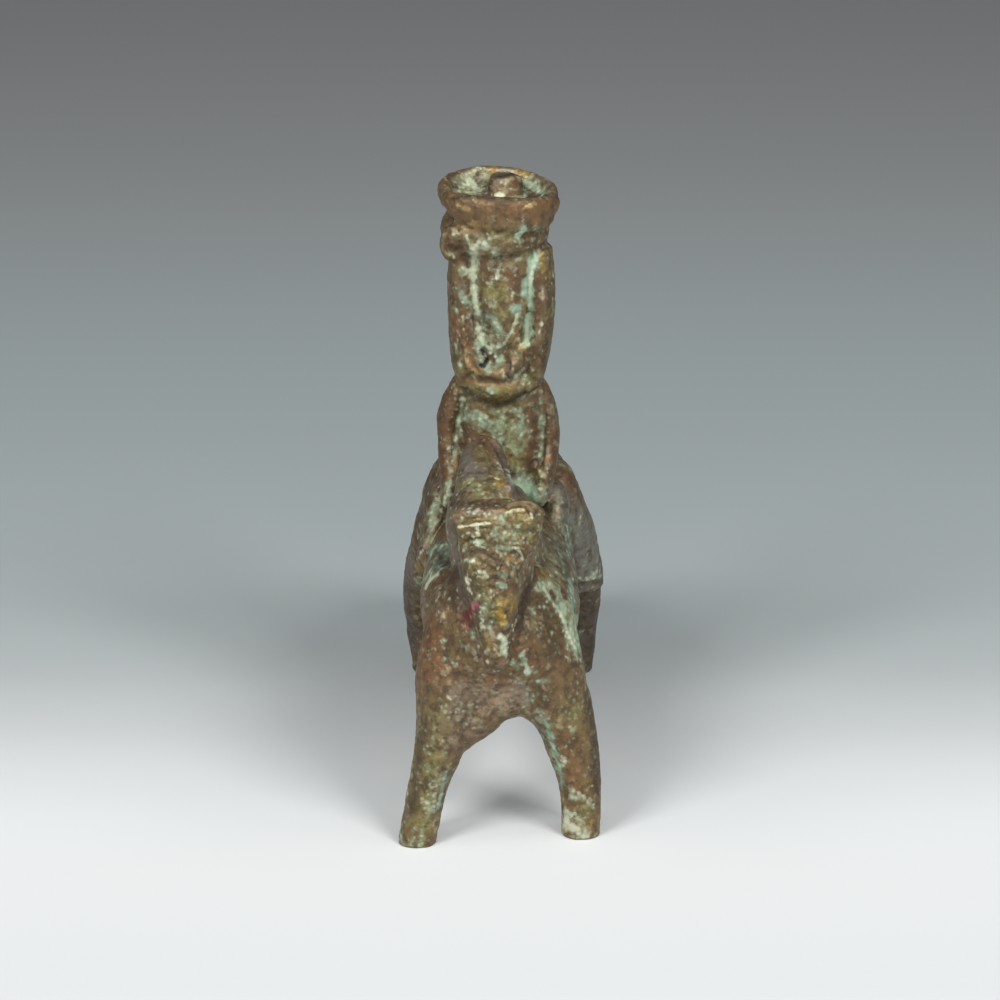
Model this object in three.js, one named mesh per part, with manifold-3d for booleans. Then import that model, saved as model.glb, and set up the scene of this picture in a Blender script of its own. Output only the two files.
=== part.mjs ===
// Bronze horse and rider: a small solid lost-wax casting in one piece.
// Millimetres, +Z up. The horse faces -Y and stands on its four feet at z = 0,
// so +X is the figure's left side and -X its right side.
import * as THREE from 'three';
import { mergeVertices } from 'three/addons/utils/BufferGeometryUtils.js';
import Module from 'manifold-3d';

const wasm = await Module();
wasm.setup();

// Driving dimensions, mm
const HEIGHT = 90.5; // soles to the back of the hat's brim
const HIND_FOOT_Y = 33.5; // middle of the hind soles
const BODY_WIDTH = 24; // across the barrel
const BODY_Z = 30; // middle of the barrel
const SEAT_Z = 43; // seat of the rider
const NECK_Z = 59.6; // rider's shoulders and chin
const CROWN_Z = 82; // lower edge of the hat
const FACE_Y = -6.8; // front of the rider's face
const WAX_THREAD = 3; // the wax thread rolled round the hat

const bodyHalf = BODY_WIDTH / 2;

// Solids

// A limb is a round-ended rod bent along a smooth line through its stations.
// Each station has a place, a half width across and a half thickness. An edge of 2 gives
// an oval section, and more than 2 a squarer one. The tips are as long as tip says, in radii.
function limbGeometry(stations, options = {}) {
  const { sides = 16, rings = 8, cap = 2, tip = [1, 1], across = [1, 0, 0], edge = 2 } = options;
  const places = stations.map(({ at }) => new THREE.Vector3(...at));
  const sizes = stations.map(({ half }) => new THREE.Vector3(half[0], half[1], 0));
  const path = new THREE.CatmullRomCurve3(places, false, 'catmullrom', 0.5);
  const size = new THREE.CatmullRomCurve3(sizes, false, 'catmullrom', 0.5);
  const geometry = new THREE.CapsuleGeometry(1, 2, cap, sides, rings);
  const points = geometry.attributes.position;
  const reference = new THREE.Vector3(...across);
  for (let i = 0; i < points.count; i += 1) {
    const along = points.getY(i);
    const t = THREE.MathUtils.clamp((along + 1) / 2, 0, 1);
    const beyond = along - THREE.MathUtils.clamp(along, -1, 1);
    const tangent = path.getTangent(t);
    const wide = reference.clone().addScaledVector(tangent, -reference.dot(tangent)).normalize();
    const thick = new THREE.Vector3().crossVectors(wide, tangent);
    const half = size.getPoint(t);
    const reach = Math.min(half.x, half.y) * (beyond < 0 ? tip[0] : tip[1]);
    const round = Math.hypot(points.getX(i), points.getZ(i));
    const square = (Math.abs(points.getX(i)) ** edge + Math.abs(points.getZ(i)) ** edge) ** (1 / edge);
    const fuller = square > 0 ? round / square : 1;
    const point = path.getPoint(t)
      .addScaledVector(tangent, beyond * reach)
      .addScaledVector(wide, points.getX(i) * half.x * fuller)
      .addScaledVector(thick, points.getZ(i) * half.y * fuller);
    points.setXYZ(i, point.x, point.y, point.z);
  }
  return geometry;
}

// A closed geometry with its shared corners merged becomes a solid.
function solidOf(geometry) {
  const bare = geometry.clone();
  bare.deleteAttribute('normal');
  bare.deleteAttribute('uv');
  const merged = mergeVertices(bare, 1e-4);
  const index = merged.index.array;
  const faces = [];
  for (let i = 0; i < index.length; i += 3) {
    const [a, b, c] = index.slice(i, i + 3);
    if (a !== b && b !== c && c !== a) faces.push(a, b, c);
  }
  const vertProperties = new Float32Array(merged.attributes.position.array);
  return new wasm.Manifold(new wasm.Mesh({ numProp: 3, vertProperties, triVerts: new Uint32Array(faces) }));
}

function joined(solids) {
  return solids.reduce((whole, solid) => whole.add(solid));
}

function limb(stations, options) {
  return solidOf(limbGeometry(stations, options));
}

// A wax thread is a rod of even thickness through its points.
function thread(points, radius, options = {}) {
  const stations = points.map((at) => ({ at, half: [radius, radius] }));
  return limb(stations, { sides: 6, rings: 3 * points.length, cap: 1, ...options });
}

// A turned solid round an upright axis, from pairs of radius and height.
function turned(profile, segments, [x, y]) {
  const geometry = new THREE.LatheGeometry(profile.map(([r, z]) => new THREE.Vector2(r, z)), segments);
  geometry.rotateX(Math.PI / 2);
  geometry.translate(x, y, 0);
  return solidOf(geometry);
}

function lump(at, half, { sides = 10, rings = 6 } = {}) {
  const geometry = new THREE.SphereGeometry(1, sides, rings);
  geometry.scale(...half);
  geometry.translate(...at);
  return solidOf(geometry);
}

function ring(radius, thickness, at, { sides = 7, segments = 26, turn = 0 } = {}) {
  const geometry = new THREE.TorusGeometry(radius, thickness, sides, segments);
  geometry.rotateX(turn);
  geometry.translate(...at);
  return solidOf(geometry);
}

function block(size, at) {
  const geometry = new THREE.BoxGeometry(...size);
  geometry.translate(...at);
  return solidOf(geometry);
}

// Horse

function barrel() {
  return limb([
    { at: [0, -28, BODY_Z - 1], half: [bodyHalf - 2, 9.5] }, // breast
    { at: [0, -21, BODY_Z], half: [bodyHalf - 0.6, 10.5] },
    { at: [0, -9, BODY_Z], half: [bodyHalf - 0.4, 12] },
    { at: [0, 3, BODY_Z], half: [bodyHalf - 1, 12.6] }, // waist
    { at: [0, 14, BODY_Z], half: [bodyHalf - 0.6, 13.6] },
    { at: [0, 24, BODY_Z], half: [bodyHalf + 0.4, 14.3] }, // croup
    { at: [0, 31, BODY_Z], half: [bodyHalf - 1.6, 11.5] },
  ], { sides: 22, rings: 10, cap: 3, tip: [0.7, 0.7], edge: 2.2 });
}

// From the shoulder down to the sole. The left fore leg steps back a little.
const foreLegStations = {
  right: [
    { at: [-5.4, -26, 33], half: [5.2, 6] },
    { at: [-6.6, -29, 24], half: [5.3, 6.4] },
    { at: [-8.3, -31.2, 15.5], half: [3.6, 4.2] },
    { at: [-10.3, -32.4, 8], half: [2.8, 2.9] },
    { at: [-11.7, -33.5, 0], half: [2.8, 2.4] },
  ],
  left: [
    { at: [5.4, -25.5, 33], half: [5.2, 6] },
    { at: [7.6, -28.2, 24], half: [5, 6.2] },
    { at: [10.2, -29.6, 15.5], half: [3.6, 4.2] },
    { at: [11.4, -30, 8], half: [3.1, 3.1] },
    { at: [11.6, -30.4, 0], half: [2.8, 2.6] },
  ],
};

// From the hip over the stifle down to the sole.
const hindLegStations = {
  right: [
    { at: [-8, 21, 33], half: [4, 6.5] },
    { at: [-11.2, 26.5, 22], half: [3.3, 4.8] },
    { at: [-12.6, 29.5, 15], half: [2.8, 3.4] },
    { at: [-12.2, 32.5, 7], half: [2.6, 2.8] },
    { at: [-11.4, HIND_FOOT_Y, 0], half: [2.6, 2.9] },
  ],
  left: [
    { at: [8, 24, 33], half: [3.8, 6.2] },
    { at: [11.8, 28, 22], half: [3.2, 4.4] },
    { at: [13.3, 30, 16], half: [2.8, 3.2] },
    { at: [12.9, 32.3, 8], half: [2.6, 2.8] },
    { at: [12, HIND_FOOT_Y, 0], half: [2.8, 2.9] },
  ],
};

function horseLeg(stations) {
  return limb(stations, { sides: 13, rings: 8 });
}

// The wax between the fore legs hangs lower towards the right one.
function breastWeb() {
  return limb([
    { at: [-6.6, -30.4, 16.8], half: [3.4, 3.2] },
    { at: [-2.4, -30.4, 20.6], half: [4.6, 3.8] },
    { at: [2, -30, 23.8], half: [5, 4] },
    { at: [6.8, -29.4, 22.4], half: [4.4, 3.8] },
  ], { sides: 12, rings: 5, across: [0, 1, 0] });
}

// The left thigh is pressed flat and ends in front in a ledge over the shank.
function leftThigh() {
  const ledgeZ = 19.8;
  const under = [20, 30, 20];
  const thigh = limb([
    { at: [7.6, 13, 36], half: [3, 5] },
    { at: [11, 19, 27], half: [3.6, 5] },
    { at: [13, 23.4, 18], half: [3.2, 4] },
  ], { sides: 12, rings: 5 });
  return thigh.subtract(block(under, [14, 22, ledgeZ - under[2] / 2]));
}

function neck() {
  return limb([
    { at: [0, -16, 32], half: [9.8, 12] },
    { at: [-0.4, -19.6, 40], half: [7, 11] },
    { at: [-1.2, -23.4, 46.4], half: [5.8, 9] },
    { at: [-1.6, -27, 50.4], half: [5.2, 6] },
  ], { sides: 16, rings: 6, tip: [0.6, 0.5] });
}

// The mane stands as a narrow crest, set over to the right, with a raised left edge.
function mane() {
  const crest = limb([
    { at: [-2, -31.4, 50.4], half: [4.4, 2.6] },
    { at: [-2.6, -27, 52.6], half: [4, 2.8] },
    { at: [-3.4, -21, 54], half: [3, 2.8] },
    { at: [-3.4, -15.5, 52.6], half: [2.6, 3.4] },
    { at: [-2.4, -10.5, 45.6], half: [3.4, 4.4] },
  ], { sides: 12, rings: 8, tip: [0.4, 1] });
  const edge = thread([[-2.4, -15.4, 55.6], [-1.4, -18, 56.4], [0, -24, 55.4], [1.8, -30, 53.2]], 0.8);
  return crest.add(edge);
}

// The head hangs almost upright: a broad brow that narrows to a small muzzle.
function head() {
  const face = limb([
    { at: [0.1, -33, 52.2], half: [6.2, 2] },
    { at: [0.2, -35, 50], half: [6.5, 3] },
    { at: [0, -36.6, 45.6], half: [5, 3.4] },
    { at: [-0.1, -38, 40.5], half: [3.2, 3.4] },
    { at: [-0.4, -38.8, 35.6], half: [2.4, 3] },
    { at: [-0.5, -39, 32.6], half: [2, 2.6] },
  ], { sides: 14, rings: 9 });
  const jowl = limb([
    { at: [-0.3, -29.6, 44], half: [6, 6] },
    { at: [-0.3, -32.6, 37], half: [4.4, 5] },
    { at: [-0.4, -34.6, 31.6], half: [3.4, 3.2] },
  ], { sides: 12, rings: 5 });
  return joined([face, jowl, brow(), ...ears(), ...eyes()]);
}

function brow() {
  const points = [[-6, -34.6, 51.8], [-2, -35.8, 52.6], [2.5, -35.6, 53.6], [6, -34, 53]];
  return thread(points, 0.9, { across: [0, 0, 1] });
}

function ears() {
  const places = [[-4, -37.2, 50], [3.4, -37.4, 50.8]];
  return places.map((at) => lump(at, [2.6, 1.5, 1.8]));
}

function eyes() {
  const places = [[-3.2, -39.4, 46.9], [2.5, -39.4, 46.9]];
  return places.map((at) => ring(1.2, 0.5, at, { sides: 6, segments: 10, turn: Math.PI / 2 }));
}

function tail() {
  return limb([
    { at: [0, 35, 38], half: [2.4, 2.2] },
    { at: [0.4, 38.2, 32], half: [2.1, 1.9] },
    { at: [0.6, 39, 23], half: [1.8, 1.7] },
    { at: [0.4, 38.4, 14], half: [1.5, 1.4] },
  ], { sides: 8, rings: 6 });
}

// Rider

function torso() {
  return limb([
    { at: [0, 2, SEAT_Z - 4], half: [8, 6.5] },
    { at: [0, 1.6, SEAT_Z + 2], half: [6.6, 5.8] },
    { at: [0, 1, SEAT_Z + 9], half: [6.6, 5.2] },
    { at: [-0.1, 0.6, SEAT_Z + 16], half: [6.4, 5.4] },
    { at: [-0.2, 0.4, SEAT_Z + 19], half: [5.6, 5] },
  ], { sides: 14, rings: 6, tip: [0.3, 0.3] });
}

// From the shoulder over the elbow to the hand on the horse's neck.
const armStations = {
  right: [
    { at: [-5.2, 0.6, NECK_Z], half: [1.7, 2.8] },
    { at: [-7.3, 0.6, 55], half: [1.9, 3] },
    { at: [-7.5, -0.2, 50], half: [1.8, 2.8] },
    { at: [-7, -3.4, 46.4], half: [1.9, 2.2] },
    { at: [-5.4, -9, 46], half: [1.8, 1.8] },
  ],
  left: [
    { at: [4.9, 0.6, NECK_Z], half: [1.7, 2.8] },
    { at: [6.8, 0.4, 55], half: [1.8, 3] },
    { at: [7.1, -0.4, 50], half: [1.7, 2.8] },
    { at: [7.3, -3.4, 46.8], half: [1.7, 2.2] },
    { at: [6.2, -9.4, 47], half: [1.7, 1.7] },
  ],
};

function arm(stations) {
  return limb(stations, { sides: 10, rings: 8 });
}

// The rider's legs hang down the flanks and end in short blunt feet.
const riderLegStations = {
  right: [
    { at: [-4.8, 4, 41.5], half: [3.4, 3.4] },
    { at: [-8.8, 1, 40.6], half: [2.4, 2.8] },
    { at: [-10.2, -2.6, 38.2], half: [1.6, 2.1] },
    { at: [-11.7, -4.4, 33.4], half: [1.2, 1.7] },
  ],
  left: [
    { at: [4.8, 4, 41.5], half: [3.4, 3.4] },
    { at: [8.6, 1.4, 40.6], half: [2.4, 2.8] },
    { at: [10, -1.6, 38], half: [1.7, 2.2] },
    { at: [11.2, -3, 33.6], half: [1.3, 1.8] },
  ],
};

function riderLeg(stations) {
  return limb(stations, { sides: 10, rings: 7 });
}

// Rider's head: a round column between two strands, with a bare shield for the face

function headColumn() {
  return limb([
    { at: [0, 0, 60.5], half: [5.4, 5.8] },
    { at: [0, 0.2, 66], half: [5.8, 6.2] },
    { at: [0, 0.4, 74], half: [5.8, 6.4] },
    { at: [0, 0.4, CROWN_Z], half: [6, 6.6] },
  ], { sides: 16, rings: 6, tip: [0.4, 0.3] });
}

function sideStrand(side) {
  const outer = side < 0 ? -5.7 : 6;
  return limb([
    { at: [outer, -0.5, CROWN_Z], half: [1.8, 4.6] },
    { at: [outer - 0.1 * side, -0.6, 76], half: [1.85, 5] },
    { at: [outer, -0.8, 70], half: [1.8, 4.8] },
    { at: [outer - 0.5 * side, -1, 64], half: [1.7, 4] },
    { at: [outer - 1.2 * side, -0.6, 60.5], half: [1.5, 3.2] },
  ], { sides: 10, rings: 8, tip: [0.5, 0.8] });
}

function shield() {
  return limb([
    { at: [0.7, FACE_Y + 1.2, CROWN_Z], half: [4.2, 1.6] },
    { at: [0.7, FACE_Y + 1, 77], half: [3.9, 1.7] },
    { at: [0.7, FACE_Y + 0.8, 72], half: [3, 1.6] },
    { at: [0.9, FACE_Y + 0.8, 68.6], half: [1.3, 1.4] },
  ], { sides: 12, rings: 6 });
}

// A thread of wax hangs in a U round the lower end of the shield.
function chinCord() {
  return thread([
    [-5, FACE_Y + 1.6, 71], [-4.8, FACE_Y + 0.8, 67.6], [-4, FACE_Y + 0.2, 64.6],
    [-1.6, FACE_Y, 62.4], [1.4, FACE_Y, 62.6], [3.2, FACE_Y + 0.4, 65], [4, FACE_Y + 1.2, 69],
  ], 0.85, { across: [0, 1, 0], rings: 18 });
}

function chin() {
  const jaw = lump([0, FACE_Y + 2.8, NECK_Z + 1], [4.8, 3, 2.1], { sides: 12 });
  const knob = lump([0.9, FACE_Y + 0.2, 63.4], [1.1, 1, 1.1], { sides: 8 });
  return jaw.add(knob);
}

function faceGrooves() {
  const depth = FACE_Y + 0.9;
  const paths = {
    right: [[-3.8, depth, 81], [-3.2, depth, 75], [-2.4, depth, 69.4], [-1.9, depth, 66]],
    left: [[5.2, depth + 0.6, 81], [4.9, depth + 0.4, 75], [4.4, depth + 0.3, 70], [3.6, depth, 65]],
    inner: [[3, depth - 0.9, 75], [2.6, depth - 1, 72], [1.2, depth - 1, 69.6], [-0.4, depth - 0.6, 68]],
  };
  const radii = { right: 0.7, left: 0.6, inner: 0.5 };
  return Object.entries(paths).map(([name, points]) => thread(points, radii[name], { across: [0, 1, 0], rings: 8 }));
}

// Hat: a rolled band, and above it a shallow dish with a rolled brim and a peg

const hat = {
  centre: [-0.3, 0.8],
  bandHalf: [8.2, 2.3],
  rimHalf: 8.9,
  rimWall: 1.5,
  rimZ: 88.2,
  floorZ: 86.2,
  tiltBack: 0.1, // radians, front edge down
  tiltLeft: 0.05, // radians, left edge down
};

// What belongs to the tilted brim is made level and then tipped about its middle.
function tipped(solid) {
  const [x, y] = hat.centre;
  const degrees = THREE.MathUtils.RAD2DEG;
  return solid
    .translate([-x, -y, -hat.rimZ])
    .rotate([hat.tiltBack * degrees, hat.tiltLeft * degrees, 0])
    .translate([x, y, hat.rimZ]);
}

function turban() {
  const [x, y] = hat.centre;
  const [bandRadius, bandThickness] = hat.bandHalf;
  const profile = [[0, 79.5], [6.4, 79.5], [7.4, CROWN_Z], [7.7, 84.6], [8.1, 88.6], [0, 88.6]];
  const crown = tipped(turned(profile, 24, hat.centre));
  const band = ring(bandRadius - bandThickness, bandThickness, [x - 0.4, y, CROWN_Z + 0.2]);
  const coilEnd = lump([-7.1, -4.4, 80.8], [1.4, 1.8, 2.2], { sides: 8 });
  return joined([crown, band, coilEnd]);
}

// The brim is a rolled thread of wax, flattened against the dish.
function brim() {
  const corners = 8;
  const middle = hat.rimHalf - hat.rimWall / 2;
  const section = Array.from({ length: corners + 1 }, (_, k) => {
    const angle = (2 * Math.PI * (k % corners)) / corners;
    const radius = middle + (hat.rimWall / 2) * Math.cos(angle);
    return [radius, hat.rimZ + (WAX_THREAD / 2) * Math.sin(angle)];
  });
  return tipped(turned(section, 28, hat.centre));
}

function dish() {
  const inner = hat.rimHalf - hat.rimWall;
  const above = HEIGHT + 2;
  const profile = [[0, hat.floorZ], [inner - 1.6, hat.floorZ], [inner - 0.2, hat.rimZ], [inner, above], [0, above]];
  return tipped(turned(profile, 22, hat.centre));
}

function peg() {
  return limb([
    { at: [0.9, 3, hat.floorZ - 1.2], half: [2.6, 2.4] },
    { at: [1, 3.4, HEIGHT - 1.6], half: [2, 1.8] },
  ], { sides: 10, rings: 2, tip: [0.5, 0.7] });
}

// Casting

function horse() {
  const legs = [foreLegStations, hindLegStations].flatMap(({ right, left }) => [right, left]);
  return joined([barrel(), breastWeb(), neck(), mane(), head(), tail(), leftThigh(), ...legs.map(horseLeg)]);
}

function rider() {
  const arms = [armStations.right, armStations.left].map(arm);
  const legs = [riderLegStations.right, riderLegStations.left].map(riderLeg);
  const strands = [-1, 1].map(sideStrand);
  const body = joined([torso(), headColumn(), shield(), chin(), ...arms, ...legs, ...strands]);
  const grooved = faceGrooves().reduce((whole, groove) => whole.subtract(groove), body);
  return joined([grooved, chinCord(), turban(), brim()]).subtract(dish()).add(peg());
}

// Flat soles: everything under z = 0 is cut away. The origin is under the middle of the whole.
function casting() {
  const ground = [200, 200, 40];
  const whole = horse().add(rider()).subtract(block(ground, [0, 0, -ground[2] / 2]));
  const { min, max } = whole.boundingBox();
  return whole.translate([-(min[0] + max[0]) / 2, -(min[1] + max[1]) / 2, 0]);
}

function meshOf(solid, name, material) {
  const { vertProperties, triVerts } = solid.getMesh();
  const geometry = new THREE.BufferGeometry();
  geometry.setAttribute('position', new THREE.BufferAttribute(vertProperties, 3));
  geometry.setIndex(new THREE.BufferAttribute(triVerts, 1));
  geometry.computeVertexNormals();
  const mesh = new THREE.Mesh(geometry, material);
  mesh.name = name;
  return mesh;
}

const bronze = new THREE.MeshStandardMaterial({ color: 0x5f4630, roughness: 0.42, metalness: 0.85 });

const group = new THREE.Group();
group.add(meshOf(casting(), 'horse_and_rider', bronze));

export default group;
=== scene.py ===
# Bronze horse and rider: a small casting modelled in wax threads and lumps, worn and patinated.
# Shapes are in millimetres until the casting is whole, and are then scaled to metres.
import math

import bpy
import numpy as np
from mathutils import Matrix, Vector


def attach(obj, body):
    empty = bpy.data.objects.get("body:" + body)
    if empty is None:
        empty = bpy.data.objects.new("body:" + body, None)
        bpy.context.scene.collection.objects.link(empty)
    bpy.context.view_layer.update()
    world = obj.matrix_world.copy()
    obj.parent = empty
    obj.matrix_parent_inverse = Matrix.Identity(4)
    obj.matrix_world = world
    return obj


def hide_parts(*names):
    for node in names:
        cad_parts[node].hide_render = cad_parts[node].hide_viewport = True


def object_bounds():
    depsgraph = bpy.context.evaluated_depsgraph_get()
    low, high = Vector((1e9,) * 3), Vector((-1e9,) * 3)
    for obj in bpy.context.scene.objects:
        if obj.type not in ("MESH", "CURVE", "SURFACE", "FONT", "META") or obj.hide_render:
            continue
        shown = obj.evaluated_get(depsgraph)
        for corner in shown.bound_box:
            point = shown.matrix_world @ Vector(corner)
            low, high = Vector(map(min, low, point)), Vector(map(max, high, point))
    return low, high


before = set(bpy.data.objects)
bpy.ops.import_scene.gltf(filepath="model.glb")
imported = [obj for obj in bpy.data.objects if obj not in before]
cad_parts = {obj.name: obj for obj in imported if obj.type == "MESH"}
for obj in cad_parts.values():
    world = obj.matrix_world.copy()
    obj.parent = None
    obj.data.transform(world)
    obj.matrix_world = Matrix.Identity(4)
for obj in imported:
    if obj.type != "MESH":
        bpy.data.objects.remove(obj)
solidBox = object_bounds()

mm = 0.001
toOrigin = Vector((-0.35, 0.5, 0))  # from the middle of the rider to the middle of the whole, mm

# Camera

view = {
    "aim": (-0.35, 0.5, 40.9),  # mm
    "distance": 640,
    "height": 20,  # degrees above the horizon
    "lens": 153.6,
    "nearest": 0.01,  # metres
    "farthest": 20,
}


def addCamera(spec):
    rise = math.radians(spec["height"])
    aim = Vector(spec["aim"]) * mm
    back = Vector((0, -math.cos(rise), math.sin(rise)))
    bpy.ops.object.camera_add(location=aim + back * spec["distance"] * mm)
    camera = bpy.context.object
    camera.name = "studioCamera"
    camera.rotation_euler = (-back).to_track_quat("-Z", "Y").to_euler()
    camera.data.lens = spec["lens"]
    camera.data.clip_start = spec["nearest"]
    camera.data.clip_end = spec["farthest"]
    bpy.context.scene.camera = camera


addCamera(view)
print("camera set")

# Modelling helpers

capAngles = [math.radians(a) for a in (10, 30, 52, 74)]  # the rings that round off a limb's end
ringsPerSpan = 4  # between one station and the next
groupLevels = 48  # steps of weight in a vertex group


def deselectAll():
    bpy.ops.object.select_all(action="DESELECT")


def pick(pieces):
    deselectAll()
    for piece in pieces:
        piece.select_set(True)
    bpy.context.view_layer.objects.active = pieces[0]


def applyModifier(piece, kind, **values):
    pick([piece])
    modifier = piece.modifiers.new(kind.title(), kind)
    for key, value in values.items():
        setattr(modifier, key, value)
    bpy.ops.object.modifier_apply(modifier=modifier.name)


def curvePoint(points, t):  # a smooth line through the points: the place and the direction at t, from 0 to 1
    last = len(points) - 1
    along = min(max(t, 0), 1) * last
    i = min(int(along), last - 1)
    u = along - i
    p1, p2 = points[i], points[i + 1]
    p0 = points[i - 1] if i > 0 else 2 * p1 - p2
    p3 = points[i + 2] if i + 2 <= last else 2 * p2 - p1
    lead, trail = (p2 - p0) / 2, (p3 - p1) / 2
    place = (2 * u**3 - 3 * u**2 + 1) * p1 + (u**3 - 2 * u**2 + u) * lead
    place += (-2 * u**3 + 3 * u**2) * p2 + (u**3 - u**2) * trail
    heading = (6 * u**2 - 6 * u) * p1 + (3 * u**2 - 4 * u + 1) * lead
    heading += (6 * u - 6 * u**2) * p2 + (3 * u**2 - 2 * u) * trail
    return place, heading


def axesAlong(heading, across):
    z = heading.normalized()
    x = (across - across.dot(z) * z).normalized()
    return Matrix((x, z.cross(x), z)).transposed()


def turnTo(turn, centre):  # transform.rotate turns the other way when there is no window
    for axis, angle in zip("XYZ", turn.to_euler("XYZ")):
        if abs(angle) > 1e-5:
            bpy.ops.transform.rotate(
                value=-angle, orient_axis=axis, orient_type="GLOBAL", center_override=centre
            )


def leaning(lean):
    return Matrix.Rotation(lean[1], 3, "Y") @ Matrix.Rotation(lean[0], 3, "X")


def sizeTo(value, axes, centre):
    bpy.ops.transform.resize(
        value=value, orient_type="GLOBAL", orient_matrix=axes, orient_matrix_type="GLOBAL",
        center_override=centre,
    )


def growRings(name, rings, sides):  # a disc is extruded from ring to ring
    deselectAll()
    place, axes, wide, thick = rings[0]  # half width and half thickness
    bpy.ops.mesh.primitive_circle_add(
        vertices=sides, radius=1, fill_type="NGON", location=place, rotation=axes.to_euler()
    )
    piece = bpy.context.object
    piece.name = name
    bpy.ops.object.transform_apply(location=True, rotation=True, scale=True)
    bpy.ops.object.mode_set(mode="EDIT")
    bpy.ops.mesh.select_mode(type="FACE")
    bpy.ops.mesh.select_all(action="SELECT")
    sizeTo((wide, thick, 1), axes, place)
    for old, new in zip(rings, rings[1:]):
        bpy.ops.mesh.extrude_region_move(TRANSFORM_OT_translate={"value": new[0] - old[0]})
        turnTo(new[1] @ old[1].transposed(), new[0])
        sizeTo((new[2] / old[2], new[3] / old[3], 1), new[1], new[0])
    bpy.ops.mesh.select_all(action="SELECT")
    bpy.ops.mesh.normals_make_consistent(inside=False)
    bpy.ops.object.mode_set(mode="OBJECT")
    return piece


def limb(name, stations, sides=24, across=(1, 0, 0), tip=(1, 1)):
    places = [Vector(place) for place, _ in stations]  # a station is a place, (half width, half thickness)
    halves = [Vector((*half, 0)) for _, half in stations]
    steps = ringsPerSpan * (len(stations) - 1)
    spots = [(0, -math.cos(a) * tip[0], math.sin(a)) for a in capAngles]
    spots += [(k / steps, 0, 1) for k in range(steps + 1)]
    spots += [(1, math.cos(a) * tip[1], math.sin(a)) for a in reversed(capAngles)]
    rings = []
    for t, beyond, share in spots:
        place, heading = curvePoint(places, t)
        half, _ = curvePoint(halves, t)
        axes = axesAlong(heading, Vector(across))
        place = place + axes.col[2] * beyond * min(half.x, half.y)
        rings.append((place, axes, half.x * share, half.y * share))
    return growRings(name, rings, sides)


def thread(name, points, radius, **options):
    return limb(name, [(point, (radius, radius)) for point in points], sides=12, **options)


def leanOver(piece, lean, pivot):
    pick([piece])
    bpy.ops.object.mode_set(mode="EDIT")
    bpy.ops.mesh.select_all(action="SELECT")
    turnTo(leaning(lean), Vector(pivot))
    bpy.ops.object.mode_set(mode="OBJECT")


def turned(name, profile, centre, sides=48):  # the profile is radius and height, from the underside out
    rings = [(Vector((*centre, z)), Matrix.Identity(3), r, r) for r, z in profile]
    return growRings(name, rings, sides)


def lump(name, place, half):
    deselectAll()
    bpy.ops.mesh.primitive_uv_sphere_add(segments=20, ring_count=12, radius=1, location=place)
    piece = bpy.context.object
    piece.name = name
    bpy.ops.object.transform_apply(location=True, rotation=True, scale=True)
    bpy.ops.object.mode_set(mode="EDIT")
    bpy.ops.mesh.select_all(action="SELECT")
    sizeTo(half, Matrix.Identity(3), place)
    bpy.ops.object.mode_set(mode="OBJECT")
    return piece


def hoop(name, place, radius, thickness, half=(1, 1, 1), turn=(0, 0, 0)):
    deselectAll()
    bpy.ops.mesh.primitive_torus_add(
        location=place, rotation=turn, major_radius=radius, minor_radius=thickness,
        major_segments=40, minor_segments=14,
    )
    piece = bpy.context.object
    piece.name = name
    bpy.ops.object.transform_apply(location=True, rotation=True, scale=True)
    bpy.ops.object.mode_set(mode="EDIT")
    bpy.ops.mesh.select_all(action="SELECT")
    sizeTo(half, Matrix.Identity(3), place)
    bpy.ops.object.mode_set(mode="OBJECT")
    return piece


def readPoints(piece):
    points = np.empty(len(piece.data.vertices) * 3, np.float32)
    piece.data.vertices.foreach_get("co", points)
    return points.reshape(-1, 3).astype(float)


def readNormals(piece):
    normals = np.empty(len(piece.data.vertices) * 3, np.float32)
    piece.data.vertex_normals.foreach_get("vector", normals)
    return normals.reshape(-1, 3).astype(float)


def writeGroup(piece, name, weights):
    group = piece.vertex_groups.new(name=name)
    steps = np.round(np.clip(weights, 0, 1) * groupLevels).astype(int)
    for level in range(1, groupLevels + 1):
        found = np.flatnonzero(steps == level)
        if len(found):
            group.add(found.tolist(), level / groupLevels, "REPLACE")
    return group.name


def writeAttribute(piece, name, values):
    attribute = piece.data.attributes.new(name, "FLOAT", "POINT")
    attribute.data.foreach_set("value", np.asarray(values, np.float32))


# Horse

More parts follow.
